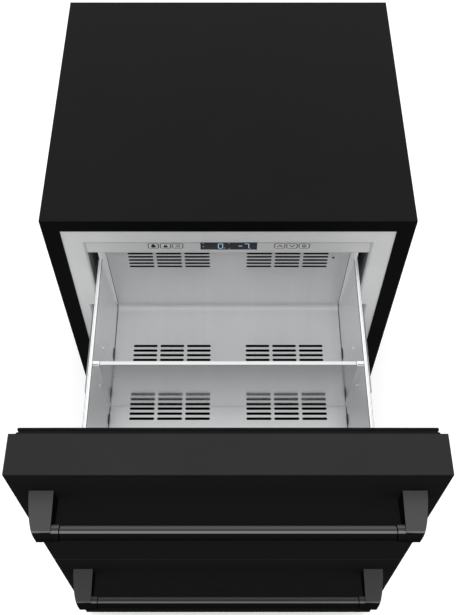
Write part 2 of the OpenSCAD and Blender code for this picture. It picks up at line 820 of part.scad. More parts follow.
module slide_middles() color(zinc) opened(0.5) both_sides()
    along_y(slide_y, slide_y + slide_l)
        channel(cavity_x - slide_t - nest, slide_in_x + 2, slide_lo + nest, slide_hi - nest);

// The inner member opens to the right and carries a shelf under the drawer box
module slide_inners() color(zinc) opened() both_sides()
    along_y(slide_y, slide_y + slide_l) {
        inner_out = cavity_x - slide_t - nest - slide_gap;
        translate([inner_out + slide_in_x, 0]) mirror([1, 0])
            channel(inner_out - slide_t, slide_in_x, slide_lo + 2 * nest, slide_hi - 2 * nest);
        translate([shelf_x, floor_z - box_t - shelf_t]) square([slide_in_x + slide_t - shelf_x, shelf_t]);
    }

// DRAWER FRONTS

skin_return = 20; // width of the skin's edge folded in at the back

module front_skin() color(black) opened()
    difference() {
        block([-cabinet_w / 2, face_y, 0], [cabinet_w / 2, plate_y, front_h]);
        block([-inner_x, face_y + sheet_t, sheet_t], [inner_x, plate_y - sheet_t, front_h - sheet_t]);
        block([-inner_x + skin_return, plate_y - 2 * sheet_t, sheet_t + skin_return],
              [inner_x - skin_return, plate_y + cut, front_h - sheet_t - skin_return]);
    }

module front_foam() color(foam) opened() {
    block([-inner_x, face_y + sheet_t, sheet_t], [inner_x, plate_y - sheet_t, front_h - sheet_t]);
    block([-inner_x + skin_return, face_y + sheet_t, sheet_t + skin_return],
          [inner_x - skin_return, plate_y, front_h - sheet_t - skin_return]);
}

// Outline of the seal's outer edge, drawn in by a distance
module seal_outline(inset) translate([-cabinet_w / 2 + seal_inset + inset, seal_inset_z + inset])
    square([cabinet_w - 2 * (seal_inset + inset), front_h - 2 * (seal_inset_z + inset)]);

module front_seal() color("#141415") opened()
    along_y(plate_y, plate_y + seal_t)
        difference() {
            seal_outline(0);
            seal_outline(seal_w);
        }

module front_plate() color(black) opened()
    along_y(plate_y, plate_y + plate_t) seal_outline(seal_w + 0.5);

// HANDLES

module handle_bar() color(black) opened() translate([0, bar_y, bar_z]) {
    rod_x(bar_r, -collar_x + joint_w, collar_x - joint_w);
    rod_x(joint_r, -collar_x, collar_x);
}

// A post drawn in from the side and from above, with the collar that takes the bar
module handle_posts() color(black) opened() both_sides() {
    intersection() {
        along_x(post_in_x, post_out_x) {
            polygon([[face_y, bar_z + post_h / 2], [face_y, bar_z - post_h / 2],
                     [bar_y, bar_z - post_r], [bar_y, bar_z + post_r]]);
            translate([bar_y, bar_z]) circle(r = post_r, $fn = 64);
        }
        linear_extrude(front_h)
            polygon([[post_in_x, face_y],
                     for (p = post_curve) [post_out_x - p[1] * post_taper,
                                           face_y - p[0] * (bar_out + post_r + cut)],
                     [post_in_x, bar_y - post_r - cut]]);
    }
    translate([0, bar_y, bar_z]) rod_x(collar_r, collar_x, post_in_x);
}

// DRAWER BOXES

module tray_floor() linear_extrude(box_t)
    difference() {
        translate([-wall_low_x - tray_over, box_y])
            square([2 * (wall_low_x + tray_over), box_l - bend_r]);
        for (back = [slot_rear, slot_front]) translate([0, box_back_y - back]) slot_group();
    }

module tray_back() along_y(box_back_y, box_back_y + box_t)
    difference() {
        polygon([[-wall_low_x - tray_over, floor_z + bend_r], [wall_low_x + tray_over, floor_z + bend_r],
                 [wall_top_x + tray_over, rail_z], [wall_top_x + tray_over, back_z],
                 [-wall_top_x - tray_over, back_z], [-wall_top_x - tray_over, rail_z]]);
        translate([0, rail_z - slot_back_drop]) slot_group();
    }

module tray_bend() along_x(-wall_low_x - tray_over, wall_low_x + tray_over)
    intersection() {
        translate([box_back_y - bend_r, floor_z - box_t]) square([bend_r + box_t, bend_r + box_t]);
        translate([box_back_y - bend_r, floor_z + bend_r])
            difference() {
                circle(r = bend_r + box_t, $fn = 64);
                circle(r = bend_r, $fn = 64);
            }
    }

module box_tray() color(satin) opened() {
    translate([0, 0, floor_z - box_t]) tray_floor();
    tray_bend();
    tray_back();
}

function wall_x(z) = wall_low_x + (z - floor_z) * wall_lean;

// Side wall's section with its rolled rail
module side_section() polygon([
    [wall_low_x, floor_z], [wall_top_x, rail_z], [rail_x, rail_z], [rail_x, rail_z - rail_h],
    [wall_x(rail_z - rail_h) + box_t, rail_z - rail_h], [wall_low_x + box_t, floor_z]]);

// Side wall's outline from the side, rounded where it meets the tray's bend
module side_outline() {
    translate([box_y, floor_z]) square([box_l - bend_r, rail_z - floor_z]);
    translate([box_y, floor_z + bend_r]) square([box_l, rail_z - floor_z - bend_r]);
    translate([box_back_y - bend_r, floor_z + bend_r]) circle(r = bend_r, $fn = 64);
}

guide_x = divider_x + 1;
guide_low_x = tongue_low_x - 2;

module guide_outline()
    polygon([[guide_low_x, floor_z], [wall_low_x, floor_z], [wall_top_x, rail_z], [guide_x, rail_z]]);

// A guide of two fins that the divider's end drops between
module divider_guide() {
    along_y(divider_front - guide_gap - guide_t, divider_front - guide_gap) guide_outline();
    along_y(divider_front + divider_t + guide_gap, divider_front + divider_w) guide_outline();
}

module box_sides() color(satin) opened() both_sides() {
    intersection() {
        along_y(box_y, box_back_y) side_section();
        along_x(0, cabinet_w) side_outline();
    }
    divider_guide();
}

// A flat sheet that narrows to the floor, whose upper edge is rolled over to the back
module divider() color(satin) opened() {
    along_y(divider_front, divider_front + divider_t)
        polygon([for (s = [-1, 1]) [s * tongue_low_x, floor_z + floor_gap],
                 for (s = [1, -1]) [s * (divider_x + tongue_l), rail_z]]);
    block([-divider_x, divider_front, rail_z - divider_roll_h],
          [divider_x, divider_front + divider_w, rail_z]);
}

from_front() top_panel();
from_front() side_panel_left();
from_front() side_panel_right();
from_front() back_panel();
from_front() base_pan();
from_front() front_frame();
from_front() insulation_foam();
from_front() upper_liner();
from_front() lower_liner();
from_front() control_panel();
from_front() display_window();
from_front() control_board();
from_front() key(0);  // power_key
from_front() key(1);  // lock_key
from_front() key(2);  // mode_key
from_front() key(3);  // up_key
from_front() key(4);  // down_key
from_front() key(5);  // set_key
from_front() evaporator_cover();
from_front() evaporator();
from_front() evaporator_fan_motor();
from_front() evaporator_fan();
from_front() compressor();
from_front() compressor_grommets();
from_front() condenser();
from_front() condenser_fan_shroud();
from_front() condenser_fan();
from_front() refrigerant_lines();
from_front() drain_pan();
from_front() machine_cover();
from_front() power_inlet();
from_front() toe_kick_grille();
from_front() foot(-foot_px, foot_front_y);  // foot_front_left
from_front() foot(foot_px, foot_front_y);  // foot_front_right
from_front() foot(-foot_px, foot_by);  // foot_back_left
from_front() foot(foot_px, foot_by);  // foot_back_right
from_front() upper() slide_outers();  // upper_slide_outers
from_front() lower() slide_outers();  // lower_slide_outers
from_front() upper() slide_middles();  // upper_slide_middles
from_front() lower() slide_middles();  // lower_slide_middles
from_front() upper() slide_inners();  // upper_slide_inners
from_front() lower() slide_inners();  // lower_slide_inners
from_front() upper() front_skin();  // upper_front_skin
from_front() lower() front_skin();  // lower_front_skin
from_front() upper() front_foam();  // upper_front_foam
from_front() lower() front_foam();  // lower_front_foam
from_front() upper() front_plate();  // upper_front_plate
from_front() lower() front_plate();  // lower_front_plate
from_front() upper() front_seal();  // upper_seal
from_front() lower() front_seal();  // lower_seal
from_front() upper() handle_bar();  // upper_handle_bar
from_front() lower() handle_bar();  // lower_handle_bar
from_front() upper() handle_posts();  // upper_handle_posts
from_front() lower() handle_posts();  // lower_handle_posts
from_front() upper() box_tray();  // upper_box_tray
from_front() lower() box_tray();  // lower_box_tray
from_front() upper() box_sides();  // upper_box_sides
from_front() lower() box_sides();  // lower_box_sides
from_front() upper() divider();  // upper_divider
from_front() lower() divider();  // lower_divider
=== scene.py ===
# %% [markdown]
# # Undercounter freezer with two drawers
# The real object is a black steel cabinet, 606 mm wide, with a light grey moulded liner and
# two deep drawers. Each drawer has a thick insulated front with a bar handle, and a slotted
# stainless box that runs on telescopic slides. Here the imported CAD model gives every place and
# size, and this script gives the pieces their edges, marks and finishes.
# The frame is loaded first, so that all later steps can ask it where things are.

# %% Load the frame
import math

import bpy
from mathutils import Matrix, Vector


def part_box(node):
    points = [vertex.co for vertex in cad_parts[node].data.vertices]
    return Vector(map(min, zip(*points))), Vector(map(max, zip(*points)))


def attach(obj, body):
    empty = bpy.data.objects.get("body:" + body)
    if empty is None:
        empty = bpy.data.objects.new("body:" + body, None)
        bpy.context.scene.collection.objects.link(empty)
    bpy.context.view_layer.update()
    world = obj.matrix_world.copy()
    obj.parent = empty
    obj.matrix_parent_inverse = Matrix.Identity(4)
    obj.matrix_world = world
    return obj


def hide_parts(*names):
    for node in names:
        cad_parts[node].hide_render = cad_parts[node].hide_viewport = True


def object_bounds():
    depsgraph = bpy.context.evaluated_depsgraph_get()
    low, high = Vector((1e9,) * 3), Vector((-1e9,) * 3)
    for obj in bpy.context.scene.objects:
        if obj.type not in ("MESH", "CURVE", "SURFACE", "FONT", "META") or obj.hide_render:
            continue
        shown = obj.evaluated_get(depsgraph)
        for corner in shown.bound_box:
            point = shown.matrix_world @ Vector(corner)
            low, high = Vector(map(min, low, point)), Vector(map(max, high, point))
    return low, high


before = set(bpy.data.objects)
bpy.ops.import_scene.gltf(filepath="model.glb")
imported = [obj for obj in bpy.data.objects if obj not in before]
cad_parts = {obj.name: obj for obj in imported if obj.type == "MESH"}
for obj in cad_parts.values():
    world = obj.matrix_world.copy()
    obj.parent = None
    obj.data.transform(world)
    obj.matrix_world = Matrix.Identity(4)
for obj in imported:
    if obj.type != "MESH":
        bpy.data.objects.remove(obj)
cad_bounds = [list(corner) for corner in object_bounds()]
MM = 0.001
UNITS = ("upper", "lower")
print(len(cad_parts), "nodes, from", cad_bounds[0], "to", cad_bounds[1])

# %% [markdown]
# ## The camera
# The photograph looks down at the open drawers from high above the front. The view was solved
# from the cabinet's corners and from the two equal fronts: a camera 1.97 m above the floor, tilted
# 58 degrees down. Blender's camera looks along -Z, so it is turned up from there by 90 - 58.

# %% Set the camera
CAMERA_PLACE = (0, -0.8577, 1.967)
CAMERA_TURN = math.radians(31.82)
PHOTO_SIZE = (458, 615)
FOCAL_PIXELS = 858
CENTRE_PIXEL = 228.17
SENSOR_W = 36

camera_data = bpy.data.cameras.new("camera")
camera_data.sensor_width = SENSOR_W
camera_data.lens = FOCAL_PIXELS * SENSOR_W / PHOTO_SIZE[1]
camera_data.shift_x = (PHOTO_SIZE[0] / 2 - CENTRE_PIXEL) / PHOTO_SIZE[1]
camera = bpy.data.objects.new("camera", camera_data)
camera.location = CAMERA_PLACE
camera.rotation_euler = (CAMERA_TURN, 0, 0)
bpy.context.scene.collection.objects.link(camera)
bpy.context.scene.camera = camera
print("lens", round(camera_data.lens, 2), "mm")

# %% [markdown]
# ## Helpers for modelling
# A piece starts as a primitive at its size and place. In edit mode its faces or edges are picked
# by where they lie, as one would click on them, and an operator works on what is picked.
# The CAD nodes start out selected, so everything else is deselected before each step.

# %% Selecting


def choose(piece):
    """Makes one piece the only selected and active one, in object mode."""
    if bpy.context.object and bpy.context.object.mode != "OBJECT":
        bpy.ops.object.mode_set(mode="OBJECT")
    bpy.ops.object.select_all(action="DESELECT")
    piece.select_set(True)
    bpy.context.view_layer.objects.active = piece


def pick(piece, kind, test):
    """Enters edit mode with the faces or edges picked whose middle and direction pass the test."""
    choose(piece)
    bpy.ops.object.mode_set(mode="EDIT")
    bpy.ops.mesh.select_mode(type=kind)
    bpy.ops.mesh.select_all(action="DESELECT")
    bpy.ops.object.mode_set(mode="OBJECT")
    mesh = piece.data
    for item in mesh.polygons if kind == "FACE" else mesh.edges:
        ends = [mesh.vertices[i].co for i in item.vertices]
        middle = sum(ends, Vector()) / len(ends)
        way = item.normal if kind == "FACE" else (ends[1] - ends[0]).normalized()
        item.select = bool(test(middle, way))
    bpy.ops.object.mode_set(mode="EDIT")


def round_edges(piece, radius, segments, test):
    """Rounds the edges that pass the test."""
    pick(piece, "EDGE", test)
    bpy.ops.mesh.bevel(offset=radius, segments=segments, affect="EDGES")
    done()


def edit_all(piece):
    """Enters edit mode with the whole mesh picked."""
    choose(piece)
    bpy.ops.object.mode_set(mode="EDIT")
    bpy.ops.mesh.select_all(action="SELECT")


def done():
    """Leaves edit mode."""
    bpy.ops.object.mode_set(mode="OBJECT")


# %% Starting pieces


def settle(piece, name):
    """Names a new piece and moves its place into its mesh."""
    piece.name = piece.data.name = name
    choose(piece)
    bpy.ops.object.transform_apply(location=True, rotation=True, scale=True)
    return piece


def start_box(name, low, high):
    """A cube primitive that reaches from one corner to the other."""
    low, high = Vector(low), Vector(high)
    bpy.ops.mesh.primitive_cube_add(size=1, location=(low + high) / 2, scale=high - low)
    return settle(bpy.context.object, name)


def start_sheet(name, low, high):
    """A flat plane primitive in X and Z, facing the user, at the depth of its low corner."""
    low, high = Vector(low), Vector(high)
    bpy.ops.mesh.primitive_plane_add(
        size=1, location=(0, low.y, (low.z + high.z) / 2), rotation=(math.pi / 2, 0, 0))
    bpy.context.object.scale = (high.x - low.x, high.z - low.z, 1)
    return settle(bpy.context.object, name)


def start_rod(name, radius, start, end, sides=64):
    """A cylinder primitive between two points."""
    start, end = Vector(start), Vector(end)
    bpy.ops.mesh.primitive_cylinder_add(
        vertices=sides, radius=radius, depth=(end - start).length, location=(start + end) / 2,
        rotation=(end - start).to_track_quat("Z", "Y").to_euler())
    return settle(bpy.context.object, name)


def copy_node(name, node):
    """A merged copy of a CAD node's mesh, with its flat triangles joined into whole faces."""
    piece = bpy.data.objects.new(name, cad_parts[node].data.copy())
    piece.data.materials.clear()
    bpy.context.scene.collection.objects.link(piece)
    edit_all(piece)
    bpy.ops.mesh.customdata_custom_splitnormals_clear()
    bpy.ops.mesh.remove_doubles(threshold=0.01 * MM)
    bpy.ops.mesh.dissolve_limited(angle_limit=math.radians(0.5))
    done()
    return piece


def placed_copy(piece, name, place=(0, 0, 0), turn=(0, 0, 0), scale=(1, 1, 1)):
    """A copy of a piece with its own mesh, moved, turned and scaled into its place."""
    copy = bpy.data.objects.new(name, piece.data.copy())
    bpy.context.scene.collection.objects.link(copy)
    copy.location, copy.rotation_euler, copy.scale = place, turn, scale
    return settle(copy, name)


def face_outwards(piece):
    """Turns all faces of a piece outwards."""
    edit_all(piece)
    bpy.ops.mesh.normals_make_consistent(inside=False)
    done()
    return piece


def mirrored(piece):
    """A copy of a right-hand piece for the cabinet's left side."""
    name = piece.name.replace("right", "left")
    return face_outwards(placed_copy(piece, name, scale=(-1, 1, 1)))


# %% Finishing pieces
SMOOTH_ANGLE = math.radians(35)
SHARP_ANGLE = math.radians(40)


def run_modifier(piece, kind, **settings):
    """Adds a modifier with its settings and applies it."""
    modifier = piece.modifiers.new(kind.lower(), kind)
    for name, value in settings.items():
        setattr(modifier, name, value)
    choose(piece)
    bpy.ops.object.modifier_apply(modifier=modifier.name)


def soften(piece, radius, segments=2):
    """Rounds the sharp edges and shades the rest smooth; large flat faces stay flat."""
    if radius:
        run_modifier(piece, "BEVEL", width=radius, segments=segments, limit_method="ANGLE",
                     angle_limit=SHARP_ANGLE)
    choose(piece)
    bpy.ops.object.shade_smooth_by_angle(angle=SMOOTH_ANGLE)
    run_modifier(piece, "WEIGHTED_NORMAL", weight=80, keep_sharp=True)
    return piece


def join(pieces, name):
    """Joins pieces into the first one and names it."""
    choose(pieces[0])
    for piece in pieces[1:]:
        piece.select_set(True)
    bpy.ops.object.join()
    pieces[0].name = name
    return pieces[0]


def mount(piece, body, slot, material, *nodes):
    """Finishes a piece and lets it move with its body; it stands for the CAD nodes named."""
    piece.data.materials.clear()
    piece.data.materials.append(material)
    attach(piece, body)
    if nodes:
        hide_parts(*nodes)


def paint(piece, material, test):
    """Gives the faces that pass the test one more finish."""
    piece.data.materials.append(material)
    pick(piece, "FACE", test)
    piece.active_material_index = len(piece.data.materials) - 1
    bpy.ops.object.material_slot_assign()
    done()


# %% [markdown]
# ## Helpers for materials
# A material is a small network of nodes round one Principled shader. Colours are written as sRGB
# hex values, and one function turns them into Blender's linear light. Another adds a node with
# its settings and links.

# %% Material helpers


def linear(colour):
    """An sRGB hex colour as linear red, green, blue and alpha."""
    parts = [int(colour[i:i + 2], 16) / 255 for i in (1, 3, 5)]
    return [p / 12.92 if p <= 0.04045 else ((p + 0.055) / 1.055) ** 2.4 for p in parts] + [1]


def add_node(tree, kind, sockets=(), **settings):
    """Adds a node, sets its options and fills its sockets with values or with other outputs."""
    node = tree.nodes.new("ShaderNode" + kind)
    for name, value in settings.items():
        setattr(node, name, value)
    for socket, value in dict(sockets).items():
        if isinstance(value, bpy.types.NodeSocket):
            tree.links.new(value, node.inputs[socket])
        else:
            node.inputs[socket].default_value = value
    return node


def start_material(name, colour, roughness, metallic=0.0, gloss=0.5):
    """A material with its whole-surface values, and its tree, shader and place on the object."""
    material = bpy.data.materials.new(name)
    material.use_nodes = True
    tree = material.node_tree
    shader = tree.nodes["Principled BSDF"]
    for socket, value in {"Base Color": linear(colour), "Roughness": roughness,
                          "Metallic": metallic, "Specular IOR Level": gloss}.items():
        shader.inputs[socket].default_value = value
    place = add_node(tree, "TexCoord").outputs["Object"]
    return material, tree, shader, place


def grain(tree, place, size, detail=2.0, stretch=(1, 1, 1)):
    """Noise with a grain of a given size in metres, drawn out along an axis by a stretch."""
    mapping = add_node(tree, "Mapping", {"Vector": place, "Scale": [1 / s for s in stretch]})
    noise = add_node(tree, "TexNoise", {"Vector": mapping.outputs["Vector"], "Scale": 1 / size,
                                        "Detail": detail})
    return noise.outputs["Fac"]


def remap(tree, value, span, ends=(0.0, 1.0)):
    """Carries a value from one span over to another, and holds it at the ends."""
    node = add_node(tree, "MapRange", {"Value": value, "From Min": span[0], "From Max": span[1],
                                       "To Min": ends[0], "To Max": ends[1]})
    return node.outputs["Result"]


def facing(tree):
    """The X, Y and Z of the way that the surface faces."""
    normal = add_node(tree, "NewGeometry").outputs["Normal"]
    return add_node(tree, "SeparateXYZ", {"Vector": normal}).outputs


def vary(tree, shader, socket, factor, low, high):
    """Lets a shader's value or colour vary between two ends with a pattern."""
    if isinstance(low, str):
        mix = add_node(tree, "Mix", {0: factor, 6: linear(low), 7: linear(high)}, data_type="RGBA")
        result = mix.outputs[2]
    else:
        result = remap(tree, factor, (0.25, 0.75), (low, high))
    tree.links.new(result, shader.inputs[socket])


def emboss(tree, shader, height, depth, strength=1.0):
    """Lets a pattern stand out of the surface by a depth in metres."""
    bump = add_node(tree, "Bump", {"Height": height, "Distance": depth, "Strength": strength})
    tree.links.new(bump.outputs["Normal"], shader.inputs["Normal"])


# %% [markdown]
# ## Black finishes
# The cabinet, fronts and handles are steel with a satin black powder coat: paint baked from
# powder, whose skin has a fine orange peel. It scatters the gloss until the faces look nearly
# matt. The seal, feet and grommets are black rubber and plastic.

# %% Black materials
PEEL = 2.5 * MM  # drawn wide so that it shows
CLOUD = 140 * MM  # slow patches in the painted top light and in the gloss


def powder_coat(name, colour, colour_lit_top, roughness, gloss):
    """Steel with a baked powder coat. Faces that look up get a lighter colour: painted light from
    above.
    """
    material, tree, shader, place = start_material(name, colour, roughness, gloss=gloss)
    peel = grain(tree, place, PEEL)
    cloud = grain(tree, place, CLOUD, 3)
    # Painted light: the more a face looks up, the lighter its colour, as if lit from above.
    lit_top = remap(tree, facing(tree)["Z"], (0.2, 1.0))
    patchy = remap(tree, cloud, (0.2, 0.8), (0.8, 1.0))
    lit_top_patches = add_node(tree, "Math", {0: lit_top, 1: patchy}, operation="MULTIPLY")
    vary(tree, shader, "Base Color", lit_top_patches.outputs[0], colour, colour_lit_top)
    vary(tree, shader, "Roughness", cloud, roughness - 0.04, roughness + 0.05)
    emboss(tree, shader, peel, 0.02 * MM)
    return material


def painted_light_ramp(tree, stops):
    """Painted light: a colour that follows the normal's Y, from -1 towards the user to 1, and the
    normal's Z.
    """
    way = facing(tree)
    ramp = add_node(tree, "ValToRGB", {"Fac": remap(tree, way["Y"], (-1.0, 1.0))})
    bands = ramp.color_ramp.elements
    while len(bands) < len(stops):
        bands.new(0.5)
    for band, (slope, colour) in zip(bands, stops):
        band.position = (slope + 1) / 2
        band.color = linear(colour)
    return ramp.outputs["Color"], way["Z"]


def satin_coat_painted_light(name, stops):
    """The handles' finer coat, rubbed smooth, with bands of painted highlight and shade along the
    bar.
    The bands are colours by the slope of what looks up; what looks down or sideways is painted
    dark."""
    dark = "#0e0e0e"
    material, tree, shader, place = start_material(name, dark, 0.3, gloss=0)
    bands, up = painted_light_ramp(tree, stops)
    # The painted bands show on faces that look up; the rest is painted dark.
    raised = remap(tree, up, (0.3, 0.6))
    mix = add_node(tree, "Mix", {0: raised, 6: linear(dark), 7: bands}, data_type="RGBA")
    tree.links.new(mix.outputs[2], shader.inputs["Base Color"])
    vary(tree, shader, "Roughness", grain(tree, place, CLOUD, 3), 0.27, 0.34)
    emboss(tree, shader, grain(tree, place, PEEL), 0.01 * MM)
    return material


def moulded_plastic(name, colour, colour_high, roughness, texture=1.2 * MM, depth=0.03 * MM,
                    gloss=0.3):
    """Injection-moulded plastic: an even colour over a fine spark-eroded texture."""
    material, tree, shader, place = start_material(name, colour, roughness, gloss=gloss)
    vary(tree, shader, "Base Color", grain(tree, place, 90 * MM), colour, colour_high)
    emboss(tree, shader, grain(tree, place, texture), depth)
    return material


# One black coat in three tones, as painted light and shade: the fronts are painted lighter, with no
# gloss, so that their colour stands in for their reflection, and the frame and cabinet darker. The
# second colour is the painted light on faces that look up.
cabinet_black = powder_coat("powder_coated_steel_cabinet", "#0a0a0a", "#161616", 0.42, 0.05)
front_black = powder_coat("powder_coated_steel_fronts", "#191919", "#2c2c2c", 0.42, 0)
frame_black = powder_coat("powder_coated_steel_frame", "#0f0f0f", "#1a1a1a", 0.42, 0.003)
# Painted highlights and painted shade for the bars and posts: colours by the normal's Y.
ROD_PAINTED_LIGHT = ((-0.38, "#101010"), (-0.29, "#6c6c6c"), (-0.06, "#6c6c6c"), (-0.02, "#3c3c3c"),
             (0.28, "#383838"), (0.34, "#585858"), (0.8, "#505050"), (0.9, "#161616"))
POST_PAINTED_LIGHT = ((-0.38, "#101010"), (-0.31, "#646464"), (-0.24, "#646464"), (-0.19, "#464646"),
              (0.5, "#464646"))
rod_painted_light = satin_coat_painted_light("powder_coated_steel_rods", ROD_PAINTED_LIGHT)
post_painted_light = satin_coat_painted_light("powder_coated_steel_posts", POST_PAINTED_LIGHT)
plate_black = moulded_plastic("moulded_abs_black", "#0e0e0f", "#121213", 0.5, gloss=0.12)
seal_black = moulded_plastic("extruded_tpe_seal", "#0b0b0c", "#0f0f10", 0.6, 2 * MM, gloss=0.12)
rubber_black = moulded_plastic("moulded_rubber", "#161616", "#1c1c1c", 0.75, 1.5 * MM, 0.05 * MM)
foot_black = moulded_plastic("moulded_nylon_feet", "#1d1d1d", "#232323", 0.55)
motor_black = moulded_plastic("moulded_nylon_motor", "#232425", "#2a2b2c", 0.5)
dark_plastic = moulded_plastic("moulded_polypropylene_dark", "#27282a", "#2e3032", 0.45)
# Black that paints the shade in the slots: on their cut edges and on the sheets behind them.
slot_shade_black = moulded_plastic("painted_slot_shade", "#070707", "#0c0c0c", 0.9, gloss=0.005)
liner_shade_grey = moulded_plastic("moulded_pvc_painted_shade", "#707172", "#767778", 0.6, gloss=0.1)
# Grey that paints the shade in the boxes' joints, along the rails and in the creases.
joint_shade_grey = moulded_plastic("silicone_sealant", "#46494c", "#505356", 0.6, gloss=0.2)
print("black finishes made")

# %% [markdown]
# ## Pale finishes
# The liner and the fascia are moulded light grey ABS with a satin gloss. The drawer boxes are
# stainless steel with a satin brushed grain: fine scratches all along one direction, which draw
# every reflection out into a soft streak. The slides are zinc plated, and the back of the cabinet
# is galvanised sheet, whose zinc has crystallised in patches.

# %% Pale materials
# How far the scratches are drawn out along X, Y and Z
FRONT_TO_BACK = (1, 90, 90)
UPRIGHT = (90, 1, 90)
CROSSWISE = (90, 90, 1)


def brushed_stainless(name, colour, colour_high, stretch, roughness, metallic, depth):
    """Satin stainless: scratches 0.6 mm apart, drawn out along the sheet by the stretch."""
    material, tree, shader, place = start_material(name, colour, roughness, metallic)
    scratches = grain(tree, place, 1.2 * MM, 3, stretch)
    streaks = grain(tree, place, 14 * MM, 2, stretch)
    vary(tree, shader, "Base Color", streaks, colour, colour_high)
    vary(tree, shader, "Roughness", scratches, roughness - 0.03, roughness + 0.05)
    emboss(tree, shader, scratches, depth)
    return material


def zinc_sheet(name, colour, colour_high, roughness, crystal):
    """Zinc on steel: crystals of a given size that differ a little in shade and gloss."""
    material, tree, shader, place = start_material(name, colour, roughness, 1.0)
    cells = add_node(tree, "TexVoronoi", {"Vector": place, "Scale": 1 / crystal})
    shade = add_node(tree, "RGBToBW", {"Color": cells.outputs["Color"]}).outputs["Val"]
    vary(tree, shader, "Base Color", shade, colour, colour_high)
    vary(tree, shader, "Roughness", shade, roughness - 0.06, roughness + 0.08)
    return material


liner_grey = moulded_plastic("moulded_abs_liner", "#d4d5d5", "#d9dada", 0.42, 3 * MM)
fascia_grey = moulded_plastic("moulded_abs_fascia", "#cfcfcf", "#d3d3d3", 0.4)
key_grey = moulded_plastic("moulded_abs_keys", "#d2d2d2", "#d6d6d6", 0.42)
cover_white = moulded_plastic("moulded_abs_white", "#d4d5d5", "#dadbdb", 0.45, 3 * MM)
fan_white = moulded_plastic("moulded_polypropylene_fan", "#cfd2d3", "#d6d9da", 0.5)
tray_steel = brushed_stainless("brushed_stainless_tray", "#d8d9da", "#dedfe0", FRONT_TO_BACK,
                               0.34, 0.7, 0.0003 * MM)
# The bend's steel is a darker, rougher copy of the tray's: painted shade that takes the bend's
# highlight away.
bend_steel_painted_shade = brushed_stainless("brushed_stainless_bend_painted_shade", "#c3c4c5", "#c9cacb", FRONT_TO_BACK,
                               0.42, 0.2, 0.0003 * MM)
# The walls are the tray's stainless with an upright grain, painted lighter and less metallic:
# painted light on the upright walls.
lit_wall_steel = brushed_stainless("brushed_stainless_walls_painted_light", "#f2f3f4", "#f6f7f8", UPRIGHT,
                               0.36, 0.35, 0.0005 * MM)
divider_steel = brushed_stainless("brushed_stainless_divider", "#eceded", "#f0f1f2", CROSSWISE,
                                  0.12, 1.0, 0.00001 * MM)
slide_zinc = zinc_sheet("zinc_plated_steel", "#a9adb0", "#b6babd", 0.34, 4 * MM)
back_zinc = zinc_sheet("galvanised_steel", "#9ea2a5", "#b0b4b7", 0.42, 16 * MM)
coil_aluminium = zinc_sheet("mill_aluminium", "#c3c6c8", "#cfd2d4", 0.36, 6 * MM)
print("pale finishes made")

# %% [markdown]
# ## Small finishes
# The display is a dark gloss lens over a navy mask, with pale blue segments that glow. The marks
# on the keys are printed in dark ink. Inside are copper lines, an enamelled compressor, a green
# lacquered board and rigid foam with fine cells.

# %% Small materials


def display_lens():
    """A gloss acrylic lens over a navy mask: nearly a mirror, with faint specks of grain."""
    material, tree, shader, place = start_material("acrylic_display_lens", "#0b1119", 0.12)
    vary(tree, shader, "Base Color", grain(tree, place, 30 * MM), "#0a1018", "#0f1722")
    return material


def lit_segment():
    """A segment of the display: pale blue light behind the lens."""
    material, tree, shader, place = start_material("led_segment", "#8fb4c8", 0.4)
    shader.inputs["Emission Color"].default_value = linear("#9cc3d6")
    shader.inputs["Emission Strength"].default_value = 0.55
    vary(tree, shader, "Base Color", grain(tree, place, 2 * MM), "#86abc0", "#98bccf")
    return material


def enamel():
    """Gloss black enamel over pressed steel, with slow waves from the press."""
    material, tree, shader, place = start_material("gloss_enamel", "#141416", 0.22)
    vary(tree, shader, "Roughness", grain(tree, place, 60 * MM), 0.18, 0.3)
    emboss(tree, shader, grain(tree, place, 25 * MM), 0.1 * MM)
    return material


def drawn_copper():
    """Drawn copper: lengthwise streaks, slightly tarnished."""
    material, tree, shader, place = start_material("drawn_copper", "#c07a4f", 0.32, 1.0)
    vary(tree, shader, "Base Color", grain(tree, place, 8 * MM, 3), "#a9653c", "#cb8457")
    return material


def rigid_foam():
    """Poured polyurethane foam: cells drawn 2 mm wide so that they show."""
    material, tree, shader, place = start_material("polyurethane_foam", "#e0d3a2", 0.85)
    voronoi = add_node(tree, "TexVoronoi", {"Vector": place, "Scale": 1 / (2 * MM)})
    cells = voronoi.outputs["Distance"]
    vary(tree, shader, "Base Color", cells, "#d4c692", "#e8dcae")
    emboss(tree, shader, cells, 0.4 * MM)
    return material


lens_navy = display_lens()
segment_blue = lit_segment()
ink_dark = moulded_plastic("printed_ink", "#161717", "#1c1d1d", 0.6, gloss=0.1)
compressor_black = enamel()
line_copper = drawn_copper()
foam_cream = rigid_foam()
board_green = moulded_plastic("lacquered_board", "#1d5a38", "#24663f", 0.3, 4 * MM)
print("small finishes made")

# %% [markdown]
# ## The cabinet's sheets
# The top, sides and front frame are folded steel sheets. Their folds have a radius of about a
# millimetre, which catches a thin line of light along the top's front edge. A cube at each
# sheet's size with a small bevel gives that line. The front frame has two windows, so it starts
# as a merged copy of its CAD node, which has them already.

# %% Cabinet sheets
SHEET_FOLD = 0.8 * MM

for node in ("top_panel", "side_panel_left", "side_panel_right"):
    low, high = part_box(node)
    sheet = start_box(node + "_sheet", low, high)
    soften(sheet, SHEET_FOLD, 3)
    mount(sheet, "cabinet", "cabinet_paint", cabinet_black, node)

frame_sheet = soften(copy_node("front_frame_sheet", "front_frame"), 0.4 * MM)
mount(frame_sheet, "cabinet", "cabinet_paint", frame_black, "front_frame")
print("front frame", len(frame_sheet.data.polygons), "faces")

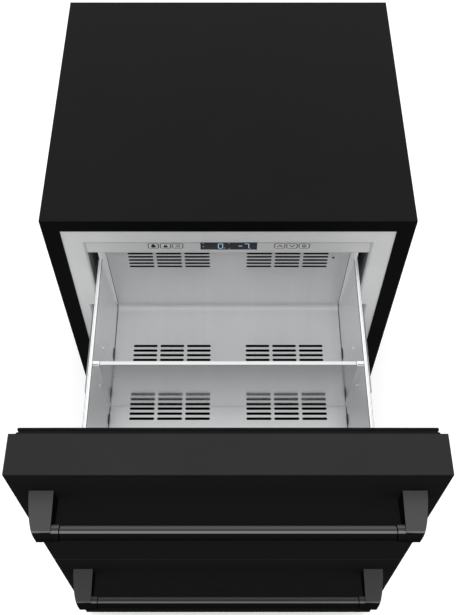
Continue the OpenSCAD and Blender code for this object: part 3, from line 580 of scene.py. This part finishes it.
# %% [markdown]
# ## The liners
# Each compartment is a vacuum-formed tub with a flat flange round its mouth. It is wider beside
# the slides than beside the rails, with a ledge between. It starts as a flat plane, cut along
# the tub's outline, and one extrude pushes the cells inside the outline back and draws the walls
# behind them. A bevel gives the round corners of vacuum forming, and a solidify gives the sheet
# its thickness, away from the tub's inside. A thin mid-grey sheet on each side wall above the
# ledge paints the shade that falls deep in the tub beside the drawer.

# %% Liners
WALL_X = 253 * MM
NECK_X = 238 * MM
LEDGE_RISE = 151.5 * MM
LINER_T = 2 * MM
LINER_CORNER = 5 * MM
LINER_SHADE_T = 0.8 * MM
LINER_SHADE_L = 300 * MM
LINER_SHADE_IN = 6 * MM
LINER_SHADE_CORNER = 4 * MM
FLANGE_LOW = 41 * MM  # from the flange's lower edge to the tub's floor
FLANGE_HIGH = 47 * MM  # from the flange's upper edge to the tub's ceiling


def cut_plane(piece, point, way):
    """Cuts the whole mesh along a plane, and keeps both halves."""
    edit_all(piece)
    bpy.ops.mesh.bisect(plane_co=point, plane_no=way)
    done()


def model_liner(unit):
    """A tub with a flange, drawn from one plane."""
    node = unit + "_liner"
    low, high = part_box(node)
    floor, ceiling = low.z + FLANGE_LOW, high.z - FLANGE_HIGH
    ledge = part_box(unit + "_front_skin")[0].z + LEDGE_RISE
    tub = start_sheet(node + "_tub", low, high)
    for x in (-WALL_X, -NECK_X, NECK_X, WALL_X):
        cut_plane(tub, (x, 0, 0), (1, 0, 0))
    for z in (floor, ledge, ceiling):
        cut_plane(tub, (0, 0, z), (0, 0, 1))
    pick(tub, "FACE", lambda middle, way: floor < middle.z < ceiling
         and abs(middle.x) < (WALL_X if middle.z < ledge else NECK_X))
    bpy.ops.mesh.extrude_region_move(
        TRANSFORM_OT_translate={"value": (0, high.y - LINER_T - low.y, 0)})
    done()
    run_modifier(tub, "BEVEL", width=LINER_CORNER, segments=4, limit_method="ANGLE",
                 angle_limit=SHARP_ANGLE)
    run_modifier(tub, "SOLIDIFY", thickness=LINER_T, offset=-1)
    return soften(tub, 0)


def model_liner_shade(unit):
    """A thin grey strip of painted shade on the tub's right-hand wall above the ledge, with its
    ends rounded.
    """
    low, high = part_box(unit + "_liner")
    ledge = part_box(unit + "_front_skin")[0].z + LEDGE_RISE
    liner_shade = start_box(unit + "_side_trim_right",
                     (NECK_X - LINER_SHADE_T, low.y + LINER_SHADE_IN, ledge + LINER_SHADE_IN),
                     (NECK_X, low.y + LINER_SHADE_L, high.z - FLANGE_HIGH - LINER_SHADE_IN))
    round_edges(liner_shade, LINER_SHADE_CORNER, 4, lambda middle, way: abs(way.x) > 0.9)
    return soften(liner_shade, 0.2 * MM)


for unit in UNITS:
    tub = model_liner(unit)
    mount(tub, "cabinet", "liner", liner_grey, unit + "_liner")
    # The grey strips paint the shade deep in the tub beside the drawer.
    liner_shade = model_liner_shade(unit)
    for side in (liner_shade, mirrored(liner_shade)):
        mount(side, "cabinet", "liner", liner_shade_grey)
    print(tub.name, [round(v, 3) for v in tub.dimensions])

# %% [markdown]
# ## The control panel
# Under the liner's top edge is a grey fascia with a dark display and three keys on each side.
# Each key has a fine dark outline and an icon printed on its cap. The fascia has the keys' holes
# already, so it is a copy of its CAD node. A key's outline is drawn on the cap itself: its front
# face is inset twice, and the narrow ring between gets the ink.

# %% Fascia and display
fascia = soften(copy_node("control_panel_fascia", "control_panel"), 0.3 * MM)
mount(fascia, "cabinet", "fascia", fascia_grey, "control_panel")

low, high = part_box("display_window")
lens = start_box("display_window_lens", low, high)
soften(lens, 0.5 * MM, 3)
mount(lens, "cabinet", "display", lens_navy, "display_window")

# %% [markdown]
# ## The display's figures
# The display shows figures made of up to seven bars, and dots. Each is a small flat box.

# %% Display figures
FIGURE_W = 7.2 * MM
FIGURE_H = 12.4 * MM
BAR_T = 1.4 * MM
DOT_T = 1.3 * MM
BAR_RISE = 0.12 * MM
# A bar's place in a figure, in half widths and half heights, and whether it stands
BAR_PLACES = {"a": (0, 1, False), "b": (1, 0.5, True), "c": (1, -0.5, True), "d": (0, -1, False),
              "e": (-1, -0.5, True), "f": (-1, 0.5, True), "g": (0, 0, False)}
# Figures and dots, placed in half widths and half heights of the window
FIGURES = [(-0.29, "abcdef"), (0.41, "g"), (0.63, "abc")]
DOTS = [(-0.895, -0.15), (-0.895, 0.67), (0.01, 0.74), (0.01, -0.67), (-0.15, -0.55), (0.75, -0.64)]


def small_box(x, z, width, height):
    """A flat lit box on the display's face, placed from the display's middle."""
    middle_x, middle_z = (low.x + high.x) / 2 + x, (low.z + high.z) / 2 + z
    return start_box("segment", (middle_x - width / 2, low.y - BAR_RISE, middle_z - height / 2),
                     (middle_x + width / 2, low.y, middle_z + height / 2))


half_w, half_h = (high.x - low.x) / 2, (high.z - low.z) / 2
segments = []
for place, bars in FIGURES:
    for bar in bars:
        across, up, stands = BAR_PLACES[bar]
        size = (BAR_T, FIGURE_H / 2 - BAR_T / 2) if stands else (FIGURE_W - BAR_T / 2, BAR_T)
        segments.append(small_box(place * half_w + across * FIGURE_W / 2, up * FIGURE_H / 2, *size))
for across, up in DOTS:
    segments.append(small_box(across * half_w, up * half_h, DOT_T, DOT_T))
mount(join(segments, "display_figures"), "cabinet", "display", segment_blue)

# %% Keys
KEY_SIZE = (18.4 * MM, 14.5 * MM)
KEY_CORNER = 3 * MM
RIM_ROUND = 0.15 * MM
OUTLINE_IN = 0.15 * MM
OUTLINE_W = 1.2 * MM
ICON_RISE = 0.1 * MM
KEYS = ("power_key", "lock_key", "mode_key", "up_key", "down_key", "set_key")


def from_rim(x, z):
    """How far a place on a cap lies in from its rounded rim, from the cap's middle."""
    across = abs(x) - (KEY_SIZE[0] / 2 - KEY_CORNER)
    up = abs(z) - (KEY_SIZE[1] / 2 - KEY_CORNER)
    return KEY_CORNER - math.hypot(max(across, 0), max(up, 0)) - min(max(across, up), 0)


def model_key(node):
    """A key's cap with a second slot of ink on a narrow ring of its face."""
    low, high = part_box(node)
    middle_x, middle_z = (low.x + high.x) / 2, (low.z + high.z) / 2
    cap = soften(copy_node(node + "_cap", node), RIM_ROUND)
    start = RIM_ROUND + OUTLINE_IN

    def on_face(middle, way):
        return way.y < -0.99 and abs(middle.y - low.y) < 0.01 * MM

    def on_outline(middle, way):
        inwards = from_rim(middle.x - middle_x, middle.z - middle_z)
        return on_face(middle, way) and start < inwards < start + OUTLINE_W

    pick(cap, "FACE", on_face)
    bpy.ops.mesh.inset(thickness=OUTLINE_IN, use_boundary=True)
    bpy.ops.mesh.inset(thickness=OUTLINE_W, use_boundary=True)
    done()
    mount(cap, node, "key", key_grey, node)
    paint(cap, ink_dark, on_outline)
    return middle_x, low.y - ICON_RISE / 2, middle_z


def icon_stroke(place, length, turn, width):
    """A straight printed stroke, turned in the face's plane."""
    bpy.ops.mesh.primitive_cube_add(size=1, location=place, rotation=(0, math.radians(turn), 0),
                                    scale=(length, ICON_RISE, width))
    return settle(bpy.context.object, "stroke")


def icon_ring(place, radius, thickness):
    """A printed ring, flattened onto the face."""
    bpy.ops.mesh.primitive_torus_add(
        location=place, rotation=(math.pi / 2, 0, 0), major_radius=radius,
        minor_radius=thickness / 2, major_segments=32, minor_segments=6)
    ring = settle(bpy.context.object, "ring")
    edit_all(ring)
    bpy.ops.transform.resize(value=(1, ICON_RISE / thickness, 1), center_override=place)
    done()
    return ring


# %% Icons on the keys
# In millimetres and degrees. A stroke is x, z, length, turn and width, and a ring is x, z, radius
# and thickness.
ICONS = {
    "power_key": ([(0, 2.9, 3.8, 90, 2.4), (0, -0.6, 4.2, 0, 3.4)], [(0, -0.6, 3.1, 1.8)]),
    "lock_key": ([(0, -1.9, 6.6, 0, 4.4)], [(0, 1.2, 2.0, 1.1)]),
    "mode_key": ([(0, 2.6, 8.4, 0, 1.0), (0, 0, 8.4, 0, 1.0), (0, -2.6, 8.4, 0, 1.0)], []),
    "up_key": ([(-2.2, 0, 6.6, -42, 1.8), (2.2, 0, 6.6, 42, 1.8)], []),
    "down_key": ([(-2.2, 0, 6.6, 42, 1.8), (2.2, 0, 6.6, -42, 1.8)], []),
    "set_key": ([(0, 0, 2.2, 0, 2.2)], [(0, 0, 3.2, 1.5)]),
}
for node in KEYS:
    key_x, face_y, key_z = model_key(node)
    strokes, rings = ICONS[node]
    marks = [icon_stroke((key_x + x * MM, face_y, key_z + z * MM), length * MM, turn, width * MM)
             for x, z, length, turn, width in strokes]
    marks += [icon_ring((key_x + x * MM, face_y, key_z + z * MM), radius * MM, thickness * MM)
              for x, z, radius, thickness in rings]
    icon = join(marks, node + "_icon")
    mount(icon, node, "key", ink_dark)
    print(icon.name, len(marks), "marks")

# %% [markdown]
# ## The drawer fronts
# A front is a box of folded steel filled with foam, 60 mm thick, with a plastic plate and a
# magnetic seal on its back. The seal is a soft extrusion with a groove all round, like a bellows,
# so that it can give when the drawer shuts.

# %% Fronts
FRONT_FOLD = 1.1 * MM
SKIN_RETURN = 20 * MM
PLATE_RIM = 7 * MM
PLATE_STEP = (3 * MM, -2 * MM)  # the pressed field's slope: how far in, and how deep
CORNER_RADIUS = 3 * MM
SEAL_W = 14 * MM
GROOVE = 2 * MM
GROOVE_SPAN = (0.35, 0.65)  # shares of the seal's depth
FOOT_T = 2.4 * MM
FOOT_PAST = 1.2 * MM


def model_ring(name, low, high):
    """A square ring with round corners, as wide all round as the seal."""
    ring = start_box(name, low, high)
    pick(ring, "FACE", lambda middle, way: abs(way.y) > 0.9)
    bpy.ops.mesh.inset(thickness=SEAL_W)
    bpy.ops.mesh.bridge_edge_loops()
    done()
    round_edges(ring, CORNER_RADIUS, 5, lambda middle, way: abs(way.y) > 0.9)
    return ring


def model_seal(name, node):
    """A bellows with a groove round its outer and inner sides, on a wider foot."""
    low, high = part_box(node)
    bellows = model_ring(name, low, high)
    for share in GROOVE_SPAN:
        cut_plane(bellows, (0, low.y + share * (high.y - low.y), 0), (0, 1, 0))
    middle_y = (low.y + high.y) / 2
    pick(bellows, "FACE",
         lambda middle, way: abs(way.y) < 0.1 and abs(middle.y - middle_y) < 1 * MM)
    bpy.ops.mesh.extrude_region_shrink_fatten(TRANSFORM_OT_shrink_fatten={"value": -GROOVE})
    done()
    soften(bellows, 0.8 * MM)
    past = Vector((FOOT_PAST, 0, FOOT_PAST))
    foot = model_ring("foot", low - past, Vector((high.x, low.y + FOOT_T, high.z)) + past)
    soften(foot, 0.5 * MM)
    return join([bellows, foot], name)


def model_plate(name, node):
    """The inner plate, with round corners and a shallow pressed field."""
    low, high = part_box(node)
    plate = start_box(name, low, high)
    round_edges(plate, 4 * CORNER_RADIUS, 6, lambda middle, way: abs(way.y) > 0.9)
    pick(plate, "FACE", lambda middle, way: way.y > 0.9)
    bpy.ops.mesh.inset(thickness=PLATE_RIM)
    bpy.ops.mesh.inset(thickness=PLATE_STEP[0], depth=PLATE_STEP[1])
    done()
    return soften(plate, 1 * MM, 3)


for unit in UNITS:
    body = unit + "_drawer"
    low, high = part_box(unit + "_front_skin")
    skin = start_box(unit + "_front_shell", low, high)
    pick(skin, "FACE", lambda middle, way: way.y > 0.9)
    bpy.ops.mesh.inset(thickness=SKIN_RETURN)
    bpy.ops.mesh.inset(thickness=0, depth=-1 * MM)
    done()
    soften(skin, FRONT_FOLD, 3)
    mount(skin, body, "front_paint", front_black, unit + "_front_skin")
    mount(model_plate(unit + "_front_plate_pressed", unit + "_front_plate"), body, "black_plastic",
          plate_black, unit + "_front_plate")
    mount(model_seal(unit + "_seal_bellows", unit + "_seal"), body, "seal", seal_black,
          unit + "_seal")

# %% [markdown]
# ## The handles
# A handle is a round bar between two posts. Each post is wide at the front and narrows to the
# bar, with a half-round nose and a rounded outer corner. A boolean keeps what two shapes share:
# its side view drawn out across, and its plan drawn out upwards.
# The bar ends in a thin groove before each post's collar.

# %% Handles
POST_X = (244 * MM, 279 * MM)
POST_H = 40 * MM
POST_R = 12.3 * MM
BAR_R = 10.3 * MM
COLLAR_L = 10.6 * MM
JOINT_W = 1.2 * MM
JOINT_IN = 4 * MM
COLLAR_R = 11.6 * MM
DISH_RIM = 2 * MM
NOSE_SHARE = 0.98  # how much of the nose's half height is rounded
SPARE = 5 * MM  # how far the plan reaches past the post
# The outer side of a post seen from above: depth from the front's face and how far it draws in
OUTER_CURVE = ((13.6, 0.9), (25, 2.3), (37.7, 3.8), (43, 4.9), (49.2, 6.4), (54, 7.8), (58, 9.3),
               (62.5, 11.6), (66.3, 14.4))


def model_post(name, face_y, bar_y, bar_z):
    """The right post: a tapering arm with a half-round nose."""
    side = start_box(name, (POST_X[0], bar_y - POST_R, bar_z - POST_H / 2),
                     (POST_X[1], face_y, bar_z + POST_H / 2))
    pick(side, "FACE", lambda middle, way: way.y < -0.9)
    bpy.ops.transform.resize(value=(1, 1, 2 * POST_R / POST_H), center_override=(0, bar_y, bar_z))
    done()
    round_edges(side, NOSE_SHARE * POST_R, 10,
                lambda middle, way: abs(way.x) > 0.9 and middle.y < bar_y)
    plan = start_box("plan", (POST_X[0] - SPARE, bar_y - POST_R, bar_z - POST_H),
                     (POST_X[1], face_y + SPARE, bar_z + POST_H))
    for depth, _ in OUTER_CURVE[:-1]:
        cut_plane(plan, (0, face_y - depth * MM, 0), (0, 1, 0))
    for depth, drawn_in in OUTER_CURVE:
        line_y = face_y - depth * MM
        pick(plan, "EDGE", lambda middle, way: abs(way.z) > 0.9 and middle.x > POST_X[1] - 0.1 * MM
             and abs(middle.y - line_y) < 0.5 * MM)
        bpy.ops.transform.translate(value=(-drawn_in * MM, 0, 0))
        done()
    run_modifier(side, "BOOLEAN", operation="INTERSECT", object=plan, solver="EXACT")
    bpy.data.objects.remove(plan)
    soften(side, 0.9 * MM)
    return side


def model_collar(name, bar_y, bar_z):
    """The right post's collar, which takes the bar's end, with a slight dish in its face."""
    collar = start_rod(name, COLLAR_R, (POST_X[0] - COLLAR_L, bar_y, bar_z),
                       (POST_X[0] + MM, bar_y, bar_z))
    pick(collar, "FACE", lambda middle, way: way.x < -0.9)
    bpy.ops.mesh.inset(thickness=DISH_RIM)
    bpy.ops.mesh.inset(thickness=0.3 * MM, depth=-0.3 * MM)
    done()
    return soften(collar, 0.6 * MM)


def model_bar(name, bar_y, bar_z):
    """The bar, with a thinner neck at each end that shows as a dark groove."""
    reach = POST_X[0] - COLLAR_L - JOINT_W
    bar = start_rod(name, BAR_R, (-reach, bar_y, bar_z), (reach, bar_y, bar_z))
    pick(bar, "FACE", lambda middle, way: abs(way.x) > 0.9)
    bpy.ops.mesh.inset(thickness=JOINT_IN)
    bpy.ops.mesh.extrude_region_shrink_fatten(TRANSFORM_OT_shrink_fatten={"value": JOINT_W})
    done()
    return soften(bar, 0.3 * MM)


for unit in UNITS:
    body = unit + "_drawer"
    low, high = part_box(unit + "_handle_bar")
    bar_y, bar_z = (low.y + high.y) / 2, (low.z + high.z) / 2
    face_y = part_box(unit + "_front_skin")[0].y
    mount(model_bar(unit + "_handle_rod", bar_y, bar_z), body, "handle", rod_painted_light,
          unit + "_handle_bar")
    post = model_post(unit + "_handle_post_right", face_y, bar_y, bar_z)
    collar = model_collar(unit + "_handle_collar_right", bar_y, bar_z)
    for right, coat in ((post, post_painted_light), (collar, rod_painted_light)):
        for side in (right, soften(mirrored(right), 0)):
            mount(side, body, "handle", coat, unit + "_handle_posts")

# %% [markdown]
# ## The drawer boxes
# A box is satin stainless sheet: a tray whose floor bends up into the back wall, and two side
# walls whose upper edges are rolled into rails. The CAD tray's shape is right, so it only gets
# its finishes: the bend is rougher than the sheet and painted darker, a painted shade that takes
# its highlight away, and the edges of the slots are painted black, as painted shade. The walls
# and the divider are merged copies whose rolled edges are rounded.

# %% Drawer boxes
FLOOR_ABOVE_BASE = 1 * MM  # the tray's sheet lies under its floor and behind its back wall
SLOTS_X = 180 * MM
SLOTS_Y = -300 * MM
BEND_REACH = 13 * MM

for unit in UNITS:
    tray = soften(copy_node(unit + "_box_tray_bent", unit + "_box_tray"), 0)
    mount(tray, unit + "_drawer", "stainless", tray_steel, unit + "_box_tray")
    low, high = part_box(unit + "_box_tray")

    def in_slot(middle, way):
        in_floor = (abs(way.z) < 0.3 and low.z < middle.z < low.z + FLOOR_ABOVE_BASE
                    and middle.y > SLOTS_Y)
        in_back = (abs(way.y) < 0.3 and high.y - FLOOR_ABOVE_BASE < middle.y < high.y
                   and middle.z < high.z - 2 * MM)
        return abs(middle.x) < SLOTS_X and (in_floor or in_back)

    def in_bend(middle, way):
        return way.y < -0.04 and way.z > 0.04 and middle.y > high.y - BEND_REACH

    # Painted shade: the slots' cut edges are painted black, and the bend darker than the sheet.
    paint(tray, slot_shade_black, in_slot)
    paint(tray, bend_steel_painted_shade, in_bend)
    walls = soften(copy_node(unit + "_box_walls", unit + "_box_sides"), 0.3 * MM)
    mount(walls, unit + "_drawer", "stainless", lit_wall_steel, unit + "_box_sides")
    panel = soften(copy_node(unit + "_divider_sheet", unit + "_divider"), 0.5 * MM, 3)
    mount(panel, unit + "_divider_panel", "stainless", divider_steel, unit + "_divider")
    print(tray.name, len(tray.data.polygons), "faces")

# %% [markdown]
# ## Seams of the drawer boxes
# Where the walls stand on the tray, a thin grey strip paints the shade in the joint. It shows as
# a fine dark line along the floor and round the bend. A strip is a long thin bar whose end face is
# spun round the bend. Fine dark lines paint the shade at the edges of each rolled rail. On the back
# wall lies the edge of the side wall's flange, a fold that leans a little, with a dark strip
# beside it that paints the shade in its crease.

# %% Seams
WALL_LOW_X = 209.2 * MM
WALL_TOP_X = 220 * MM
BEND_R = 10 * MM
SEAM_W = 1.4 * MM
SEAM_RISE = 0.4 * MM
FOLD_LOW_X = 207.8 * MM
FOLD_LEAN = 3.4 * MM
FOLD_RISE = 20 * MM
# Reach of the two strips on the back wall: across, and in depth from the wall's face
CREASE_X = (FOLD_LOW_X - 0.6 * MM, FOLD_LOW_X + 0.2 * MM)
CREASE_Y = (-0.5 * MM, 0.1 * MM)
FLANGE_X = (FOLD_LOW_X, WALL_TOP_X + 1.5 * MM)
FLANGE_Y = (-0.4 * MM, 0.2 * MM)
# Painted shade lines along a rail: place across, height over the rail's top, and width
RAIL_SHADE_LINES = ((220 * MM, 0.05 * MM, 0.9 * MM), (223.9 * MM, 0.1 * MM, 0.35 * MM),
              (225.8 * MM, 0.1 * MM, 0.5 * MM))


def box_corners(unit):
    """The inside of a drawer box: its front, back, floor and rail."""
    tray_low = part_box(unit + "_box_tray")[0]
    walls_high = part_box(unit + "_box_sides")[1]
    return tray_low.y, walls_high.y, tray_low.z + FLOOR_ABOVE_BASE, walls_high.z


def back_strip(name, unit, across, deep, radius):
    """An upright strip on the back wall, from the bend to above the rail, leaning outwards."""
    _, back, floor, rail = box_corners(unit)
    strip = start_box(name, (across[0], back + deep[0], floor + BEND_R),
                      (across[1], back + deep[1], rail + FOLD_RISE))
    pick(strip, "FACE", lambda middle, way: way.z > 0.9)
    bpy.ops.transform.translate(value=(FOLD_LEAN, 0, 0))
    done()
    return soften(strip, radius)


def model_joint_shade(unit):
    """The right-hand strips of painted shade of a box: in the joint, along the rail and in the
    fold's crease.
    """
    front, back, floor, rail = box_corners(unit)
    shade_strip = start_box("shade_strip", (WALL_LOW_X - SEAM_W, front, floor - SEAM_RISE),
                     (WALL_LOW_X, back - BEND_R, floor + SEAM_RISE))
    pick(shade_strip, "FACE", lambda middle, way: way.y > 0.9)
    bpy.ops.mesh.spin(steps=8, angle=math.radians(-90), axis=(1, 0, 0),
                      center=(WALL_LOW_X, back - BEND_R, floor + BEND_R))
    done()
    lines = [face_outwards(shade_strip)]
    for x, rise, width in RAIL_SHADE_LINES:
        line = start_box("line", (x - width / 2, front, rail + rise - 1 * MM),
                         (x + width / 2, back, rail + rise))
        lines.append(soften(line, 0.1 * MM))
    lines.append(back_strip("crease", unit, CREASE_X, CREASE_Y, 0.1 * MM))
    return join(lines, "shade_strip")


for unit in UNITS:
    # The grey strips are painted shade; the fold is the flange's real edge.
    for kind, piece, material in (
            ("_box_joint_shade", model_joint_shade(unit), joint_shade_grey),
            ("_box_fold", back_strip("fold", unit, FLANGE_X, FLANGE_Y, 0.15 * MM), lit_wall_steel)):
        piece.name = unit + kind + "_right"
        for side in (piece, mirrored(piece)):
            mount(soften(side, 0), unit + "_drawer", "stainless", material)
        print(piece.name, [round(v, 3) for v in piece.dimensions])

# %% [markdown]
# ## Dark sheets behind the slots
# The slots look black because a dark sheet lies against the back of each group, where there is
# only shade: the sheet paints that shade. One sheet is modelled lying flat, with its rim pressed
# down, and copied to the other groups.

# %% Slot shade sheets
SHADE_SHEET_SIZE = (148 * MM, 48 * MM)
SHADE_SHEET_T = 0.8 * MM
SHADE_SHEET_RIM = 2 * MM
SHADE_SHEET_X = 103 * MM
BACK_GROUP_DROP = 3 * MM
FLOOR_GROUPS = (105.4 * MM, 212.9 * MM)
SENSOR_X = 182.7 * MM
SENSOR_RISE = 4.6 * MM
SENSOR_R = 2.2 * MM

flat_shade_sheet = start_box("screen", (-SHADE_SHEET_SIZE[0] / 2, -SHADE_SHEET_SIZE[1] / 2, -SHADE_SHEET_T),
                        (SHADE_SHEET_SIZE[0] / 2, SHADE_SHEET_SIZE[1] / 2, 0))
pick(flat_shade_sheet, "FACE", lambda middle, way: way.z < -0.9)
bpy.ops.mesh.inset(thickness=SHADE_SHEET_RIM)
bpy.ops.mesh.extrude_region_move(TRANSFORM_OT_translate={"value": (0, 0, 0.3 * MM)})
done()
soften(flat_shade_sheet, 0.1 * MM)
for unit in UNITS:
    front, back, floor, rail = box_corners(unit)
    shade_sheets = []
    for x in (-SHADE_SHEET_X, SHADE_SHEET_X):
        upright = (x, back + FLOOR_ABOVE_BASE, rail - BACK_GROUP_DROP)
        shade_sheets.append(placed_copy(flat_shade_sheet, "screen", upright, (math.pi / 2, 0, 0)))
        for behind in FLOOR_GROUPS:
            lying = (x, back - behind, floor - FLOOR_ABOVE_BASE)
            shade_sheets.append(placed_copy(flat_shade_sheet, "screen", lying))
    # The dark sheets stand where there is only shade behind the slots.
    screen = join(shade_sheets, unit + "_slot_screens")
    mount(screen, unit + "_drawer", "black_plastic", slot_shade_black)
    sensor = start_rod(unit + "_sensor_button", SENSOR_R,
                       (SENSOR_X, back + 0.5 * MM, rail + SENSOR_RISE),
                       (SENSOR_X, back - 0.8 * MM, rail + SENSOR_RISE), 24)
    pick(sensor, "FACE", lambda middle, way: way.y < -0.9)
    bpy.ops.mesh.inset(thickness=0.7 * MM, depth=-0.3 * MM)
    done()
    mount(soften(sensor, 0.2 * MM), unit + "_drawer", "dark_plastic", dark_plastic)
    print(screen.name, [round(v, 3) for v in screen.dimensions])
bpy.data.objects.remove(flat_shade_sheet)

# %% [markdown]
# ## Guides on the side walls
# The divider can stand in other places. Short pressed ribs on the walls and small dark clips
# where the walls meet the floor hold its edges there.

# %% Guides
# Places behind (or, below zero, before) the divider's middle, and heights above the floor
RIBS = ((62 * MM, 71.5 * MM, 95.5 * MM), (-9 * MM, 73.5 * MM, 95.5 * MM))
CLIPS = ((90 * MM, 112 * MM), (-39 * MM, -20 * MM))
RIB_W = 2.2 * MM
RIB_PROUD = 1.2 * MM
CLIP_SIZE = (1.5 * MM, 9 * MM)
CLIP_ROUND = 6 * MM
WALL_RISE = 156.5 * MM


def wall_x(height):
    """Where the leaning wall's inner face is at a height above the floor."""
    return WALL_LOW_X + height * (WALL_TOP_X - WALL_LOW_X) / WALL_RISE


for unit in UNITS:
    front, back, floor, rail = box_corners(unit)
    low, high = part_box(unit + "_divider")
    divider_y = (low.y + high.y) / 2
    ribs = []
    for behind, bottom, top in RIBS:
        middle_y = divider_y + behind
        rib = start_box("rib", (wall_x(bottom) - RIB_PROUD, middle_y - RIB_W / 2, floor + bottom),
                        (wall_x(top) + 0.4 * MM, middle_y + RIB_W / 2, floor + top))
        ribs.append(soften(rib, 0.7 * MM, 3))
    rib = join(ribs, unit + "_wall_ribs_right")
    clips = []
    for start, end in CLIPS:
        clip = start_box("clip", (WALL_LOW_X - CLIP_SIZE[0], divider_y + start, floor),
                         (WALL_LOW_X + 0.3 * MM, divider_y + end, floor + CLIP_SIZE[1]))
        round_edges(clip, CLIP_ROUND, 4,
                    lambda middle, way: abs(way.x) > 0.9 and middle.z > floor + MM)
        clips.append(soften(clip, 0.3 * MM))
    clip = join(clips, unit + "_divider_clips_right")
    for side in (rib, mirrored(rib)):
        mount(side, unit + "_drawer", "stainless", lit_wall_steel)
    for side in (clip, mirrored(clip)):
        mount(side, unit + "_drawer", "dark_plastic", dark_plastic)

# %% [markdown]
# ## The rest of the CAD nodes
# The slides, the evaporator and the machine compartment are seen from behind, from below or
# through a gap. Their CAD shapes are right. Those with an edge that shows are merged copies with
# a slight bevel, and the others keep their own mesh and get their finish.

# %% Sheets and mouldings with soft edges
# A node's body, slot and finish, and its edges' radius in millimetres
EASED = {node: ("cabinet", "galvanised", back_zinc, 0.3)
         for node in ("back_panel", "base_pan", "machine_cover")}
EASED |= {
    "toe_kick_grille": ("cabinet", "cabinet_paint", cabinet_black, 0.3),
    "evaporator_cover": ("cabinet", "white_plastic", cover_white, 0.4),
    "power_inlet": ("cabinet", "dark_plastic", dark_plastic, 0.3),
    "drain_pan": ("cabinet", "dark_plastic", dark_plastic, 0.4),
    "condenser_fan_shroud": ("cabinet", "motor", motor_black, 0.4),
}
for foot in ("foot_front_left", "foot_front_right", "foot_back_left", "foot_back_right"):
    EASED[foot] = (foot, "foot", foot_black, 0.6)
for unit in UNITS:
    EASED[unit + "_slide_outers"] = ("cabinet", "slide", slide_zinc, 0.25)
    EASED[unit + "_slide_middles"] = (unit + "_slide_carriage", "slide", slide_zinc, 0.25)
    EASED[unit + "_slide_inners"] = (unit + "_drawer", "slide", slide_zinc, 0.25)
for node, (body, slot, material, radius) in EASED.items():
    mount(soften(copy_node(node + "_eased", node), radius * MM), body, slot, material, node)

# %% Nodes that keep their mesh
KEPT = {
    "insulation_foam": foam_cream, "upper_front_foam": foam_cream, "lower_front_foam": foam_cream,
    "control_board": board_green, "evaporator": coil_aluminium, "condenser": coil_aluminium,
    "evaporator_fan_motor": motor_black, "evaporator_fan": fan_white, "condenser_fan": fan_white,
    "compressor": compressor_black, "compressor_grommets": rubber_black,
    "refrigerant_lines": line_copper,
}
for node, material in KEPT.items():
    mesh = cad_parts[node].data
    mesh.materials.clear()
    mesh.materials.append(material)

# %% [markdown]
# ## Floor and light
# The photograph has a pure white background. The world is a soft white light, and it looks
# white to the camera and in reflections. The floor is pale too. Three soft lamps shape the
# object: a wide one high above, a smaller one over the front, and a wide weak one behind.

# %% Floor
FLOOR_SIZE = 14
FLOOR_GLOW = 0.22


def seen_directly(tree):
    """A factor of 1 where the camera, a reflection or a clear piece looks, and 0 for soft light."""
    path = add_node(tree, "LightPath").outputs
    factor = path["Is Camera Ray"]
    for ray in ("Is Glossy Ray", "Is Transmission Ray"):
        either = add_node(tree, "Math", {0: factor, 1: path[ray]}, operation="MAXIMUM")
        factor = either.outputs[0]
    return factor


bpy.ops.mesh.primitive_plane_add(size=FLOOR_SIZE, location=(0, 0, cad_bounds[0][2] - 0.5 * MM))
floor = settle(bpy.context.object, "floor")
floor_material, tree, shader, place = start_material("pale_floor", "#f4f4f4", 0.9, gloss=0.1)
vary(tree, shader, "Base Color", grain(tree, place, 300 * MM), "#f3f3f3", "#f7f7f7")
seen = seen_directly(tree)
glow = add_node(tree, "Emission", {"Color": (1, 1, 1, 1), "Strength": FLOOR_GLOW})
lit = add_node(tree, "AddShader", {0: shader.outputs["BSDF"], 1: glow.outputs["Emission"]})
shown = add_node(tree, "MixShader", {0: seen, 1: shader.outputs["BSDF"], 2: lit.outputs["Shader"]})
tree.links.new(shown.outputs["Shader"], tree.nodes["Material Output"].inputs["Surface"])
floor.data.materials.append(floor_material)

# %% World
WORLD_LIGHT = 0.68
world = bpy.data.worlds.new("studio")
bpy.context.scene.world = world
world.use_nodes = True
tree = world.node_tree
background = tree.nodes["Background"]
background.inputs["Color"].default_value = (1, 1, 1, 1)
level = remap(tree, seen_directly(tree), (0.0, 1.0), (WORLD_LIGHT, 1.0))
tree.links.new(level, background.inputs["Strength"])

# %% Lamps


def soft_lamp(name, place, target, size, power):
    """A square soft lamp that faces a point and leaves no glint on gloss."""
    lamp = bpy.data.lights.new(name, "AREA")
    lamp.size = size
    lamp.energy = power
    holder = bpy.data.objects.new(name, lamp)
    holder.location = place
    holder.visible_glossy = False
    holder.rotation_euler = (Vector(target) - Vector(place)).to_track_quat("-Z", "Y").to_euler()
    bpy.context.scene.collection.objects.link(holder)


soft_lamp("lamp_above", (0, 0.2, 5.5), (0, 0, 0.5), size=2.0, power=100)
soft_lamp("lamp_front", (0, -1.7, 4.4), (0, -0.4, 0.6), size=0.9, power=52)
soft_lamp("lamp_back", (0, 1.5, 5.0), (0, -0.3, 0.6), size=2.4, power=8)
bpy.context.scene.view_settings.view_transform = "Standard"
